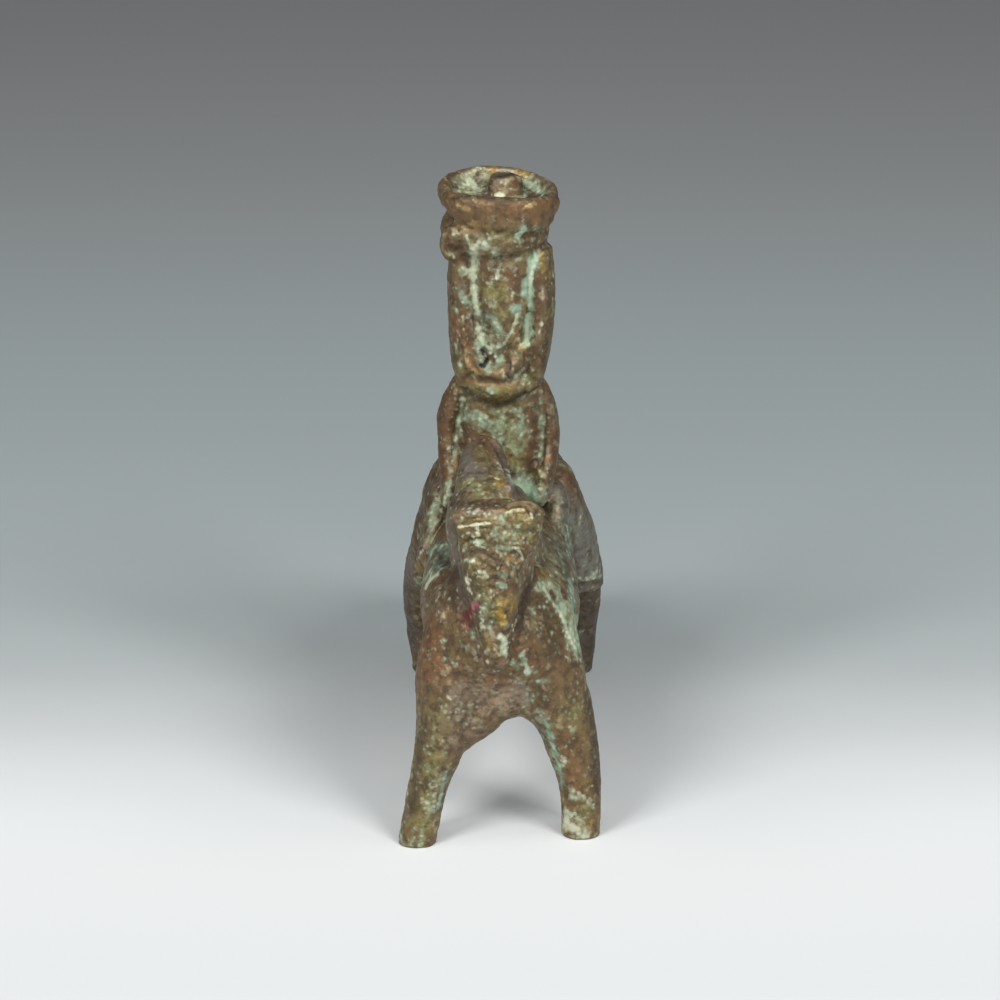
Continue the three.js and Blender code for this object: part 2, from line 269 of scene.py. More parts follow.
horse = {
    "barrel": [
        ((0, -28, 29.6), (10, 8.9)),
        ((0, -21, 30.8), (11.5, 9.9)),
        ((0, -9, 30), (11.7, 12.1)),
        ((0, 3, 30), (11.1, 12.7)),
        ((0, 14, 30), (11.5, 13.7)),
        ((0, 24, 30), (12.5, 14.4)),
        ((0, 31, 30), (10.5, 11.6)),
    ],
    "foreLegRight": [
        ((-5.4, -26, 33), (5.2, 6)),
        ((-6.9, -29, 24), (5.4, 6.4)),
        ((-8.5, -31.2, 15.5), (3.8, 4.2)),
        ((-10.6, -32.4, 8), (2.9, 2.9)),
        ((-12.1, -33.5, 0), (2.8, 2.4)),
    ],
    "foreLegLeft": [
        ((5.4, -25.5, 33), (5.2, 6)),
        ((7.4, -28.2, 24), (5.1, 6.2)),
        ((10.1, -29.6, 15.5), (4.1, 4.2)),
        ((11.7, -30, 8), (3.1, 3.1)),
        ((11.8, -30.4, 0), (2.8, 2.6)),
    ],
    "hindLegRight": [
        ((-8, 21, 33), (4, 6.5)),
        ((-11.2, 26.5, 22), (3.3, 4.8)),
        ((-12.6, 29.5, 15), (2.8, 3.4)),
        ((-12.2, 32.5, 7), (2.6, 2.8)),
        ((-11.4, 33.5, 0), (2.6, 2.9)),
    ],
    "hindLegLeft": [
        ((8, 24, 33), (3.8, 6.2)),
        ((11.8, 28, 22), (3.2, 4.4)),
        ((13.3, 30, 16), (2.8, 3.2)),
        ((12.9, 32.3, 8), (2.6, 2.8)),
        ((12, 33.5, 0), (2.8, 2.9)),
    ],
    "neck": [
        ((0, -16, 32), (9.8, 12)),
        ((-0.4, -19.6, 39.4), (7, 10.4)),
        ((-1.4, -23.4, 45.2), (6.5, 8.4)),
        ((-1.6, -27.4, 48.8), (5.9, 5.4)),
    ],
    "maneCrest": [
        ((-1.7, -34, 48.8), (4.4, 2.2)),
        ((-2.6, -28.6, 51), (4, 2.6)),
        ((-3, -21, 53), (3.2, 2.8)),
        ((-3.1, -15.5, 52.3), (2.5, 3.4)),
        ((-2.4, -10.5, 45.6), (3.4, 4.4)),
    ],
    "tail": [
        ((0, 35, 38), (2.4, 2.2)),
        ((0.4, 38.2, 32), (2.1, 1.9)),
        ((0.6, 39, 23), (1.8, 1.7)),
        ((0.4, 38.4, 14), (1.5, 1.4)),
    ],
}
breastWeb = [
    ((-6.8, -30.4, 15.9), (3.4, 3.2)),
    ((-2.6, -30.4, 20.1), (4.6, 3.8)),
    ((1.4, -30, 25.7), (5, 4)),
    ((6.2, -29.4, 20.7), (4.2, 3.8)),
]
breast = [
    ((0, -27.5, 37), (8, 5.5)),
    ((0, -29.6, 29.5), (8.6, 5.6)),
    ((-0.8, -30.6, 23), (6.6, 4.6)),
]
leftThigh = {
    "stations": [
        ((8.5, 12, 39.4), (3.1, 5)),
        ((10, 13.4, 34), (3.3, 5.1)),
        ((11.4, 16.6, 28), (3.7, 5.2)),
        ((12.9, 20.4, 18), (3.8, 5)),
    ],
    "ledgeZ": 20.2,
}
horseHead = {
    "face": [
        ((0, -33.4, 51.4), (5.9, 1.8)),
        ((-0.1, -35, 49.6), (6.1, 2.8)),
        ((-0.9, -36.6, 45.4), (4.8, 3.3)),
        ((-0.85, -38, 40.8), (3.85, 3.5)),
        ((-0.7, -38.8, 36), (2.8, 3.2)),
        ((-0.6, -39.2, 33), (2.2, 2.7)),
        ((-0.5, -39.4, 30.8), (1.7, 2.1)),
    ],
    "jowl": [
        ((-0.6, -29.6, 44), (6, 6)),
        ((-0.7, -32.2, 37), (4.2, 4.6)),
        ((-0.6, -34.2, 31.6), (2.8, 3)),
    ],
    "brow": [
        (-6.2, -34.4, 50.8), (-3.4, -35.4, 51.6), (0.4, -35.8, 52.2), (3.4, -35.4, 53), (5.5, -35, 51.6),
    ],
    "browThickness": 0.9,
    "ears": [(-3.8, -37.1, 50), (2.9, -37, 51.2)],
    "earHalf": (2.5, 1.2, 1.5),
    "eyes": [(-3.2, -39.1, 46.9), (2.5, -39.1, 46.9)],
    "eyeRing": (1.2, 0.34),
}
maneEdge = {
    "path": [
        (-2.6, -14.8, 55.8), (-0.7, -15.6, 55.2), (0.2, -18, 54),
        (0.8, -22.4, 52.8), (1.3, -27, 51.8), (1.8, -31, 51),
    ],
    "thickness": 0.8,
}


def cutLevel(piece, height):  # everything under the height is cut away and the cut is closed
    pick([piece])
    bpy.ops.object.mode_set(mode="EDIT")
    bpy.ops.mesh.select_all(action="SELECT")
    bpy.ops.mesh.bisect(plane_co=(0, 0, height), plane_no=(0, 0, 1), use_fill=True, clear_inner=True)
    bpy.ops.object.mode_set(mode="OBJECT")


def makeHorse():
    parts = [limb(name, stations) for name, stations in horse.items() if name != "maneCrest"]
    parts.append(limb("maneCrest", horse["maneCrest"], tip=(0.4, 1)))
    parts.append(limb("breastWeb", breastWeb, across=(0, 1, 0)))
    parts.append(limb("breast", breast))
    thigh = limb("leftThigh", leftThigh["stations"])
    cutLevel(thigh, leftThigh["ledgeZ"])
    parts.append(thigh)
    parts.append(thread("maneEdge", maneEdge["path"], maneEdge["thickness"]))
    parts += [limb("face", horseHead["face"]), limb("jowl", horseHead["jowl"])]
    parts.append(thread("brow", horseHead["brow"], horseHead["browThickness"], across=(0, 0, 1)))
    for place in horseHead["ears"]:
        parts.append(lump("ear", place, horseHead["earHalf"]))
    for place in horseHead["eyes"]:
        parts.append(hoop("eye", place, *horseHead["eyeRing"], turn=(math.pi / 2, 0, 0)))
    return parts


# Rider

rider = {
    "torso": [
        ((0, 2, 39), (8, 6.5)),
        ((0, 1.6, 45), (7.2, 5.9)),
        ((0, 1, 52), (7.1, 5.4)),
        ((-0.1, 0.6, 59), (6.6, 5.5)),
        ((-0.2, 0.4, 62), (5.7, 5.1)),
    ],
    "armRight": [
        ((-5.2, 0.6, 59.6), (1.7, 2.8)),
        ((-7.3, 0.6, 55), (1.9, 3)),
        ((-7.6, -0.4, 50), (1.7, 2.8)),
        ((-7.4, -2.6, 46.2), (1.6, 2.4)),
        ((-7.6, -4.6, 42.6), (1.3, 2)),
    ],
    "armLeft": [
        ((4.9, 0.6, 59.6), (1.7, 2.8)),
        ((6.8, 0.4, 55), (1.8, 3)),
        ((7.2, -0.4, 50), (1.6, 2.8)),
        ((6.8, -2.6, 46.2), (1.5, 2.4)),
        ((5.9, -3.8, 42.6), (1.3, 2)),
    ],
    "legRight": [
        ((-4.8, 4, 41.5), (3.4, 3.4)),
        ((-8.4, 1.4, 40.2), (2.4, 2.8)),
        ((-9.8, -2, 37.6), (1.5, 2)),
        ((-11.3, -4.2, 33.4), (1.1, 1.6)),
    ],
    "legLeft": [
        ((4.8, 4, 41.5), (3.4, 3.4)),
        ((7.8, 1, 41), (2.4, 2.9)),
        ((8.4, -2.6, 38.2), (1.9, 2.6)),
        ((9, -5.6, 34), (1.4, 2)),
    ],
}
riderHead = {
    "column": [
        ((0, 0, 60.5), (5.6, 6)),
        ((0, 0.2, 66), (6.4, 6.4)),
        ((0, 0.4, 74), (6.5, 6.6)),
        ((0, 0.4, 82), (6.5, 6.7)),
    ],
    "strandRight": [
        ((-5.3, -1, 80.6), (2.2, 4.2)),
        ((-5.4, -1.2, 76), (2.4, 4.8)),
        ((-5.4, -1.3, 70), (2.3, 4.7)),
        ((-5.15, -1.4, 64.6), (2.2, 4.2)),
        ((-4.5, -1, 60.5), (2, 3.4)),
    ],
    "strandLeft": [
        ((5.6, -1, 80.6), (2.1, 4.2)),
        ((5.7, -1.2, 76), (2.4, 4.8)),
        ((5.75, -1.3, 70), (2.3, 4.7)),
        ((5.2, -1.4, 64.6), (2.1, 4.2)),
        ((4.4, -1, 60.5), (1.9, 3.4)),
    ],
    "shield": [
        ((0.7, -5.2, 80.8), (4.3, 1.5)),
        ((0.7, -5.5, 77), (4.1, 1.7)),
        ((0.8, -5.6, 72), (3.2, 1.7)),
        ((1, -5.5, 68.4), (1.7, 1.5)),
    ],
    "chinCord": [
        ((-5, -4.5, 70.6), (0.7, 0.9)),
        ((-4.7, -5.2, 67.2), (0.8, 0.9)),
        ((-3.7, -5.55, 64.4), (0.85, 0.85)),
        ((-2.2, -5.65, 63), (0.9, 0.85)),
        ((0, -5.7, 62.6), (1, 0.85)),
        ((1.6, -5.65, 63.2), (1.1, 0.85)),
        ((2.8, -5.55, 64.8), (1, 0.85)),
        ((3.7, -5.2, 67), (0.7, 0.9)),
    ],
    "jaw": ((0, -3.5, 60.5), (5, 3.3, 2.6)),
    "knob": ((0.7, -5.6, 64.2), (0.9, 0.6, 1.2)),
}
hat = {
    "centre": (-0.3, 0.8),
    "crown": [
        (0.4, 79.5), (6.2, 79.6), (6.6, 80.2), (6.9, 82), (7, 84.6), (7.3, 86.2),
        (8, 87.2), (7.6, 88.6), (6.6, 88.2), (5.6, 87.7), (0.4, 87.6),
    ],
    "brimMiddle": 7.9,
    "brimHalf": (1, 1.45),
    "brimZ": 88.4,
    "lean": (0.07, 0.05),  # radians, front edge down and left edge down
    "lip": [
        ((-8, -2, 88.6), (1.4, 0.9)),
        ((-6.7, -4.9, 88.6), (1.65, 1)),
        ((-3.7, -7, 88.5), (1.85, 1.1)),
        ((0, -7.7, 88.4), (1.9, 1.1)),
        ((3.7, -6.9, 88.2), (1.8, 1.1)),
        ((6.5, -4.6, 87.9), (1.65, 1)),
        ((7.9, -1.4, 87.6), (1.5, 0.9)),
    ],
    "band": ((-0.7, 0.2, 83.2), 5.5, 2.6),
    "bandHalf": (1, 1.05, 1.12),
    "hem": [
        ((-7, -3.6, 86.9), (0.7, 0.7)),
        ((-5.6, -5.3, 86.7), (1, 0.9)),
        ((-3.4, -6.9, 86.5), (1.3, 1)),
        ((0, -7.6, 86.3), (1.5, 1.1)),
        ((3.6, -6.9, 86.1), (1.5, 1.1)),
        ((6.2, -4.6, 85.9), (1.4, 1)),
        ((7.2, -1.6, 85.7), (1.1, 0.8)),
    ],
    "coilEnd": [
        ((-4, -6.6, 84.2), (1.2, 1.4)),
        ((-6.3, -5.6, 83.8), (1.4, 1.6)),
        ((-7.3, -4.2, 82.3), (1.5, 1.6)),
        ((-6.9, -4.6, 81), (1.4, 1.5)),
    ],
    "peg": [((0.8, 3, 86), (3, 2.6)), ((0.8, 3.1, 88.6), (2.8, 2.2)), ((1.2, 3.2, 90.5), (2.2, 1.7))],
}


def makeRider():
    parts = [limb(name, stations) for name, stations in rider.items()]
    for name in ("column", "strandRight", "strandLeft"):
        parts.append(limb(name, riderHead[name], tip=(0.4, 0.5)))
    parts.append(limb("shield", riderHead["shield"]))
    parts.append(limb("chinCord", riderHead["chinCord"], across=(0, 1, 0)))
    parts.append(lump("jaw", *riderHead["jaw"]))
    parts.append(lump("knob", *riderHead["knob"]))
    return parts


def makeHat():
    brimCentre = (*hat["centre"], hat["brimZ"])
    across, up = hat["brimHalf"]
    parts = [
        turned("crown", hat["crown"], hat["centre"]),
        hoop("brim", brimCentre, hat["brimMiddle"], across, half=(1, 1, up / across)),
    ]
    for part in parts:
        leanOver(part, hat["lean"], brimCentre)
    parts.append(hoop("band", *hat["band"], half=hat["bandHalf"]))
    parts.append(limb("lip", hat["lip"], across=(0, 0, 1)))
    parts.append(limb("hem", hat["hem"], across=(0, 0, 1)))
    parts.append(limb("coilEnd", hat["coilEnd"], across=(0, 1, 0)))
    parts.append(limb("peg", hat["peg"], tip=(0.5, 0.2)))
    return parts


# Casting: the parts become one skin

skin = {
    "voxel": 0.35,
    "soften": 6,
    "triangles": 190000,
}
meltCore = 1.6  # a melt's weight in its middle, of which more than 1 is cut off
meltFall = 1.3  # and what it loses by its half size away
melts = [  # where the wax was smoothed over with a warm finger: middle and half sizes in mm, rounds
    ((0, -28, 27), (13, 9, 12), 90),
    ((0, 27, 26), (11, 11, 12), 50),
    ((0, -14, 40), (12, 10, 9), 30),
]


def fuse(parts, name):
    pick(parts)
    bpy.ops.object.join()
    casting = bpy.context.object
    casting.name = name
    bpy.ops.object.mode_set(mode="EDIT")
    bpy.ops.mesh.select_all(action="SELECT")
    bpy.ops.transform.translate(value=toOrigin)
    bpy.ops.object.mode_set(mode="OBJECT")
    applyModifier(casting, "REMESH", mode="VOXEL", voxel_size=skin["voxel"], adaptivity=0)
    cutLevel(casting, 0)
    applyModifier(casting, "SMOOTH", factor=0.5, iterations=skin["soften"])
    points = readPoints(casting)
    for middle, half, rounds in melts:
        away = np.linalg.norm((points - np.array(middle) - np.array(toOrigin)) / np.array(half), axis=1)
        group = writeGroup(casting, "melt", meltCore - meltFall * away)
        applyModifier(casting, "SMOOTH", factor=0.5, iterations=rounds, vertex_group=group)
        casting.vertex_groups.clear()
    return casting


parts = makeHorse()
print("horse modelled")
parts += makeRider()
print("rider modelled")
parts += makeHat()
print("hat modelled")
casting = fuse(parts, "castHorseAndRider")
print("casting fused:", len(casting.data.vertices), "vertices")


# Strokes: what was pressed, scratched or pinched into the wax, where the patina and the wear lie, and where
# painted shade and painted highlights lie.
# Each is seen from one side, so that depth along that view counts little. Left and right are the horse's own.

sides = {
    "front": (0, -0.94, 0.342),
    "right": (-1, 0, 0),
    "left": (1, 0, 0),
    "back": (0, 1, 0),
    "top": (0, 0, 1),
}
depthShare = 0.2  # what a distance along the view counts for
fadeOut = 2.6  # widths from its path at which a stroke is left off
turnedAway = (3, 0.6)  # how fast a stroke fades where the skin turns from its side, and its share edge-on


def stroke(path, width, seen="front", **marks):  # path and width in mm, and how strong each mark is;
    return dict(marks, path=path, width=width, seen=seen)  # a colour of the bronze is laid as a tint


strokes = {
    # hat
    "dishBloom": stroke([(-5.7, 5, 89.4), (-4.7, 5.4, 88.6), (-3.4, 4.5, 88.1)], 1.15, verdigris=0.9,
        chalk=0.9, cream=0.8),
    "dishBloomLow": stroke([(-5.3, 2.7, 88.2), (-3.5, 2.2, 88)], 0.6, verdigris=0.8, chalk=0.3, moss=0.4),
    "dishBloomLeft": stroke([(4.4, 5.5, 88.5), (5.4, 4, 88.3), (6.4, 1.4, 88.2)], 0.9, verdigris=1,
        chalk=0.45, sage=0.7),
    "dishBack": stroke([(-1.2, 8, 90.2), (1.5, 8.2, 90.2), (3.8, 7, 89.9)], 0.7, ochre=0.5, bare=0.7),
    "dishRed": stroke([(-7.9, 1.2, 90.1), (-7.1, 4, 90.3), (-5.5, 6.2, 90.3)], 0.6, russet=0.9, bare=0.6),
    "pegGold": stroke([(0.9, 1.4, 90.1), (1, 1, 88.5)], 0.3, tan=1, bare=0.5),
    "pegSide": stroke([(-0.7, 1.7, 89.7), (-0.6, 1.1, 88.3)], 0.5, rosy=0.7, bare=0.5),
    "pegRed": stroke([(2.2, 1.8, 90.1), (2.2, 1.2, 88.5)], 0.5, russet=1, bare=0.8),
    "pegGreen": stroke([(1.6, 1.3, 88.9), (2.3, 1.4, 88.7)], 0.3, verdigris=0.8, moss=0.8),
    # painted shade along the peg's top and its sides
    "pegTop": stroke([(-0.9, 2.3, 90.3), (0.4, 2.1, 90.6), (1.9, 4, 90.4)], 0.35, depth=-0.15, soot=0.4,
        umber=0.9),
    "pegLineRight": stroke([(-1.5, 2.2, 89.4), (-1.6, 1.5, 87.9)], 0.3, soot=0.45, umber=0.9),
    "pegLineLeft": stroke([(3.1, 2.3, 89.4), (3.4, 2, 87.8)], 0.3, soot=0.45, umber=0.9),
    # painted highlights on the peg
    "pegGlint": stroke([(-0.4, 1, 88.1), (0.4, 0.8, 88)], 0.5, chalk=1.5),
    "pegGlintTop": stroke([(1, 1.3, 89.9), (1, 1.2, 89.2)], 0.22, chalk=1),
    # a painted highlight on the back rim's top
    "rimTopLine": stroke([(-0.4, 7.7, 89.8), (0.7, 8, 90), (2.2, 7.5, 89.7)], 0.35, chalk=1, rosy=0.8),
    "lipSheen": stroke([(-8.3, -3.1, 87.7), (-6.5, -6.4, 88.1), (-4.3, -8, 88.2), (0, -8.7, 88.1),
        (4.3, -7.8, 88), (7.5, -4.9, 88.1), (8.3, -2.5, 88.3)], 1.5, bare=0.85, ruddy=0.55),
    # painted shade along the lip's top edge
    "lipEdge": stroke([(-7, -5.7, 89.4), (-4.3, -7.2, 90.1), (-2.2, -7.9, 90), (0, -8.3, 89.8),
        (2.2, -8, 89.9), (4.4, 1.9, 87.5), (6.7, -3.4, 89.3)], 0.3, umber=1, bare=0.8, soot=0.12),
    # painted highlights along the top of the lip
    "lipGlintRight": stroke([(-6.2, -6.8, 88.8), (-5.5, -7.4, 88.5), (-4.5, -7.9, 88.5)], 0.24, gilt=0.9,
        bare=0.7, depth=0.12),
    "lipGlintLeft": stroke([(3.5, -8.1, 88.9), (4.5, -7.6, 88.9), (5.1, -7.2, 89.1)], 0.22, gilt=0.8,
        bare=0.7, depth=0.1),
    "hemBrown": stroke([(-4.3, -7.6, 87.2), (0, -8.5, 86.9), (5.1, -7.2, 86.8)], 1, bare=0.7, brown=0.6),
    "hemFleck": stroke([(1, -8.5, 87.3), (1.3, -8.5, 86.9)], 0.3, chalk=1),
    "bandBrown": stroke([(-6.5, -6.6, 84.7), (-2.9, -7.6, 84.4), (1.4, -7.8, 84.1), (5.8, -4.7, 83.2)], 2,
        bare=0.55, russet=0.45),
    "bandCrust": stroke([(-7, -6.7, 83.8), (-3.6, -7.7, 84.4), (0.7, -8, 84), (5.8, -4.6, 82.9)], 2,
        crust=0.5, olive=0.25),
    "bandOchre": stroke([(-5.5, -6.6, 85.6), (-4.3, -7.3, 85.8), (-3, -7.6, 85.6)], 0.6, ochre=0.8),
    "bandOchreMiddle": stroke([(-1.7, -7.9, 85.1), (-0.3, -8.1, 84.5), (1.2, -8.3, 85)], 0.8, moss=0.6,
        crust=0.5),
    "bandBloom": stroke([(2.6, -7.7, 84.5), (3.5, -8.1, 85.6)], 0.5, verdigris=1.3, chalk=0.4, aqua=0.6),
    "bandGreen": stroke([(-2.9, -7.7, 84.1), (-1.4, -8.1, 83.9)], 0.6, verdigris=0.7),
    "bandGrey": stroke([(4.9, -7.1, 85.4), (6.3, -4.9, 84.5)], 0.6, verdigris=0.6),
    "bandHem": stroke([(-2.9, -7.9, 83.4), (-1.9, -8.1, 82.7), (-0.9, -7.8, 81.9)], 1, verdigris=0.8,
        chalk=0.8, sage=0.5),
    "coilLine": stroke([(-4.9, -7.7, 84.4), (-4.5, -7.8, 83.5), (-4.2, -7.4, 82.2)], 0.32, depth=0.2,
        verdigris=0.9, chalk=1.04),
    "coilBlob": stroke([(-6.8, -6.7, 84.4), (-6.2, -6.8, 84.3)], 0.45, verdigris=0.9, chalk=0.9),
    "coilLineLow": stroke([(-7, -5.7, 81.7), (-6.7, -5.9, 80.7)], 0.35, verdigris=0.8, chalk=0.98),
    "coilBare": stroke([(-7.3, -6.5, 83), (-6.1, -6.3, 82.4), (-5.5, -5.7, 81.4)], 1.1, bare=0.9,
        brown=0.9),
    # rider's head
    "shieldGrooveRight": stroke([(-3.9, -5.7, 80.8), (-3.9, -5, 78.4), (-3.8, -5, 76.1), (-3.5, -5.1, 73.9),
        (-3.2, -5.3, 72.1), (-2.6, -5.1, 69.3), (-2.1, -5.2, 66.2)], 0.85, depth=-0.45, verdigris=0.75),
    "cordRidgeRight": stroke([(-5.8, -6, 73.8), (-5.6, -5.9, 71.5), (-5.3, -5.8, 68.3), (-4.8, -6.1, 65.6),
        (-4.3, -5.1, 62.9)], 0.4, depth=0.35, ruddy=0.5, bare=0.5),
    # a painted highlight along the cord's ridge
    "cordRidgeGlow": stroke([(-5.1, -5.9, 66.5), (-4.8, -6.1, 64.8), (-4.4, -5.2, 63.2)], 0.25, tan=0.7,
        bare=0.6),
    "shieldRidgePale": stroke([(-3.8, -7.6, 82.3), (-3.8, -5, 79.6), (-3.9, -5, 77.7), (-3.8, -5, 75.4),
        (-3.5, -5.1, 73.4), (-3.2, -5.2, 71.8)], 0.6, depth=0.35, verdigris=1.3, chalk=0.95, cream=0.8),
    "shieldRidgeTop": stroke([(-3.9, -7.1, 81.8), (-3.6, -5.1, 79.7), (-3.8, -5, 77.5)], 0.9, verdigris=1.1,
        chalk=0.85, cream=0.7),
    "shieldLineLower": stroke([(-4.7, -6, 72.6), (-4.2, -5.6, 70.7), (-3.8, -5.3, 68.6), (-3.4, -5.5, 67)],
        0.28, depth=0.2, rosy=0.8, chalk=0.6),
    "grooveCreamLow": stroke([(-3.2, -5.1, 70), (-2.6, -5.2, 68.1), (-2.1, -5.4, 66.8)], 0.75,
        verdigris=0.9, chalk=0.8),
    "shieldGrooveLeft": stroke([(5.2, -4.7, 80.8), (4.8, -5.4, 79.2), (4.5, -5.7, 77.1), (4.4, -5.5, 74),
        (4.2, -4.7, 71), (4, -4.7, 68.7), (3.8, -5.1, 67.4)], 0.5, depth=-0.35, verdigris=1.3, chalk=0.85,
        aqua=0.7),
    "shieldGrooveEnd": stroke([(3.8, -5.1, 67.4), (3.7, -5.8, 66.4), (3.8, -5.4, 65.1)], 0.25, depth=-0.2,
        verdigris=0.9, chalk=0.7),
    "grooveMintGlow": stroke([(4.8, -5.3, 80), (4.5, -5.7, 77.7), (4.4, -5.7, 75.6)], 0.45, verdigris=1.5,
        chalk=1.15, aqua=0.9),
    # a painted highlight in the groove
    "grooveGlint": stroke([(4.7, -5.5, 78.4), (4.7, -5.7, 77.3)], 0.3, chalk=1.35),
    "grooveMintWide": stroke([(3.8, -6.4, 76.7), (3.6, -6.6, 75), (4.4, -5.4, 73.7)], 0.75, verdigris=1.3,
        chalk=0.6, aqua=0.8),
    "grooveMintLow": stroke([(4.5, -5.4, 73.5), (4.5, -4.9, 70.8), (4.3, -4.8, 68.4)], 0.6, verdigris=1.3,
        chalk=0.6, mint=0.6),
    "shieldMint": stroke([(2, -7.2, 73.3), (2.8, -6.9, 73.2)], 0.5, verdigris=1.5, chalk=0.4, aqua=1),
    "shieldMintHigh": stroke([(1.9, -7.2, 75.6), (2.5, -7, 75.6)], 0.4, verdigris=1.2, chalk=0.4),
    "shieldEdge": stroke([(2.5, -6.8, 72.3), (2.2, -6.7, 70.7), (1.6, -6.8, 69.5), (0.9, -6.8, 68.3),
        (0.3, -6.2, 67.2)], 0.38, depth=-0.2, verdigris=1, chalk=1.06),
    "shieldCream": stroke([(-1.2, -5.9, 66.4), (0, -6.2, 67.2)], 0.6, chalk=0.9, verdigris=0.6),
    "strandOrange": stroke([(6.1, -5, 80.6), (6.3, -5.4, 79.1), (6.3, -5.5, 78)], 0.5, ochre=0.9, bare=0.6),
    "strandLine": stroke([(6.3, -5.9, 76.3), (6.1, -6.1, 74.2)], 0.28, rosy=0.9, chalk=0.9, depth=0.15),
    "strandLineLow": stroke([(6.1, -6.1, 71.4), (6, -6, 69.9), (5.4, -6, 68.3)], 0.28, rosy=0.9, chalk=0.8,
        depth=0.15),
    "strandRed": stroke([(5.2, -5.6, 77.8), (5.4, -6, 74.2), (5.3, -5.8, 71)], 0.6, russet=0.8, bare=0.6),
    "ochreSpot": stroke([(3.6, -6.6, 74.3), (3.8, -5.9, 72.4)], 0.45, ochre=1, bare=0.7),
    "goldFolds": stroke([(2.8, -5.7, 68.7), (2.9, -5.7, 66.9), (2.3, -5.8, 66.1)], 0.8, ochre=0.8,
        chalk=0.5, crust=0.6),
    "shieldTop": stroke([(-2.3, -6.4, 80.1), (-1.5, -6.8, 79.3), (-2.3, -6.6, 78)], 1.2, russet=0.8,
        bare=0.4),
    "shieldGreyTop": stroke([(0.3, -6.8, 79.9), (1.7, -6.9, 79.6), (2, -7, 78.7)], 0.7, verdigris=0.6,
        chalk=0.3),
    "shieldDark": stroke([(1.9, -7, 78), (2.6, -7, 76.4), (2.2, -7.1, 74.5)], 0.9, russet=0.9, bare=0.5),
    "shieldFleck": stroke([(-0.4, -7, 78.9), (-0.4, -7.1, 77.7)], 0.34, verdigris=1.3, chalk=1.04),
    "shieldGrey": stroke([(-2.2, -6.7, 77.3), (-1.5, -7, 76.8)], 0.5, chalk=0.7, verdigris=0.4),
    "shieldOlive": stroke([(-1.5, -6.9, 76), (0, -7.3, 75.5)], 1.1, moss=0.9, crust=0.4),
    "shieldOliveLow": stroke([(-0.6, -7.2, 72.7), (0.4, -7.2, 72.1)], 0.8, moss=0.9, crust=0.4),
    "shieldBlueGrey": stroke([(-2.3, -5.6, 71.6), (-1.2, -6.8, 71.7)], 0.7, verdigris=0.7, teal=0.6),
    "shieldGreen": stroke([(-1.7, -6.8, 74.4), (-1, -7.1, 73.6)], 0.6, verdigris=0.7),
    "shieldLow": stroke([(-1, -6.8, 71), (-0.1, -6.9, 69.2)], 0.9, verdigris=0.8, chalk=0.5, crust=0.4,
        sage=0.7),
    "chinPale": stroke([(-3.2, -5.5, 67.1), (-2.6, -5.8, 64.9), (-1.8, -6.2, 63.5)], 0.9, verdigris=1.1,
        chalk=0.6),
    # painted shade in the casting pits, besides the pits' relief
    "castingPit": stroke([(-2.6, -5.1, 66.2), (-2.3, -5.3, 65.5)], 0.27, depth=-0.8, soot=1.8),
    "castingPitLow": stroke([(-1.9, -5.3, 64.9), (-2.4, -5.6, 63.9), (-2.8, -5.8, 64.1)], 0.25, depth=-0.6,
        soot=1.8),
    # a painted highlight along the cord's lower rim
    "cordSheen": stroke([(-5.1, -6.1, 66), (-4.7, -6.2, 64.7), (-4.1, -5.5, 63.2), (-3.2, -5.3, 62.3)],
        0.24, depth=0.2, gilt=1, bare=0.6, chalk=0.7),
    # a painted highlight on the fold
    "foldPale": stroke([(0.3, -6.3, 63.5), (0.6, -6.5, 62.7)], 0.4, chalk=0.9, tan=0.9),
    "foldLine": stroke([(1.8, -6.2, 65.3), (1.9, -6.8, 64), (1.6, -6.5, 62.3)], 0.28, depth=0.25, rosy=0.9,
        chalk=0.6),
    # painted shade in the grooves beside the fold
    "foldGroove": stroke([(1.2, -5.7, 65.3), (1.3, -6, 63.7), (1, -6.3, 62.4)], 0.3, depth=-0.35, soot=0.4),
    "foldGrooveOuter": stroke([(2.6, -5.7, 66.1), (2.6, -6.3, 64.3), (2.1, -5.6, 62)], 0.3, depth=-0.3,
        soot=0.35),
    "chinGreen": stroke([(-0.6, -6.1, 66.2), (0, -6.1, 65), (-0.3, -6.1, 64.1)], 0.7, verdigris=0.8,
        chalk=0.3),
    "chinRed": stroke([(-2.1, -6.2, 62.2), (-0.7, -6.5, 62.3)], 0.4, ruddy=0.9, bare=0.5),
    # painted shade along the jaw line
    "jawLine": stroke([(-3.2, -5.4, 61.5), (-1.5, -6.2, 61.5), (0.4, -6.4, 61.5), (1.8, -6.1, 61.7)], 0.32,
        depth=-0.12, soot=0.25),
    "jawLeft": stroke([(2.2, -6.3, 61.5), (3.2, -5.3, 62.9), (3.8, -5.6, 64.5)], 0.35, depth=0.2, rosy=0.8,
        chalk=0.3),
    "jawPale": stroke([(-1.9, -6.5, 60.6), (-0.9, -6.7, 60.1)], 0.6, verdigris=0.9, chalk=0.6),
    "jawOlive": stroke([(-4.4, -4.8, 60.2), (-0.7, -6.6, 59.9), (2.9, -6, 60.6)], 1.4, moss=0.4, crust=0.4),
    # painted shade under the jaw, besides the groove
    "underJaw": stroke([(-5, -2.6, 58.9), (-3.3, -3.8, 57.9), (-0.7, -4.4, 57.1), (1.8, -4.4, 57.9),
        (3.5, -4.4, 59.2)], 0.5, depth=-0.35, soot=0.45),
    "strandSpot": stroke([(-5.1, -5.5, 78.9), (-4.8, -5.4, 78.5)], 0.5, chalk=0.9, verdigris=0.9),
    "strandSpotLow": stroke([(-5.8, -5.5, 78.1), (-5.1, -5.6, 77.9)], 0.5, verdigris=0.9, chalk=0.5),
    "strandBlue": stroke([(-5.7, -5.9, 75.6), (-5.3, -6, 74.2)], 0.7, verdigris=0.6, teal=0.7),
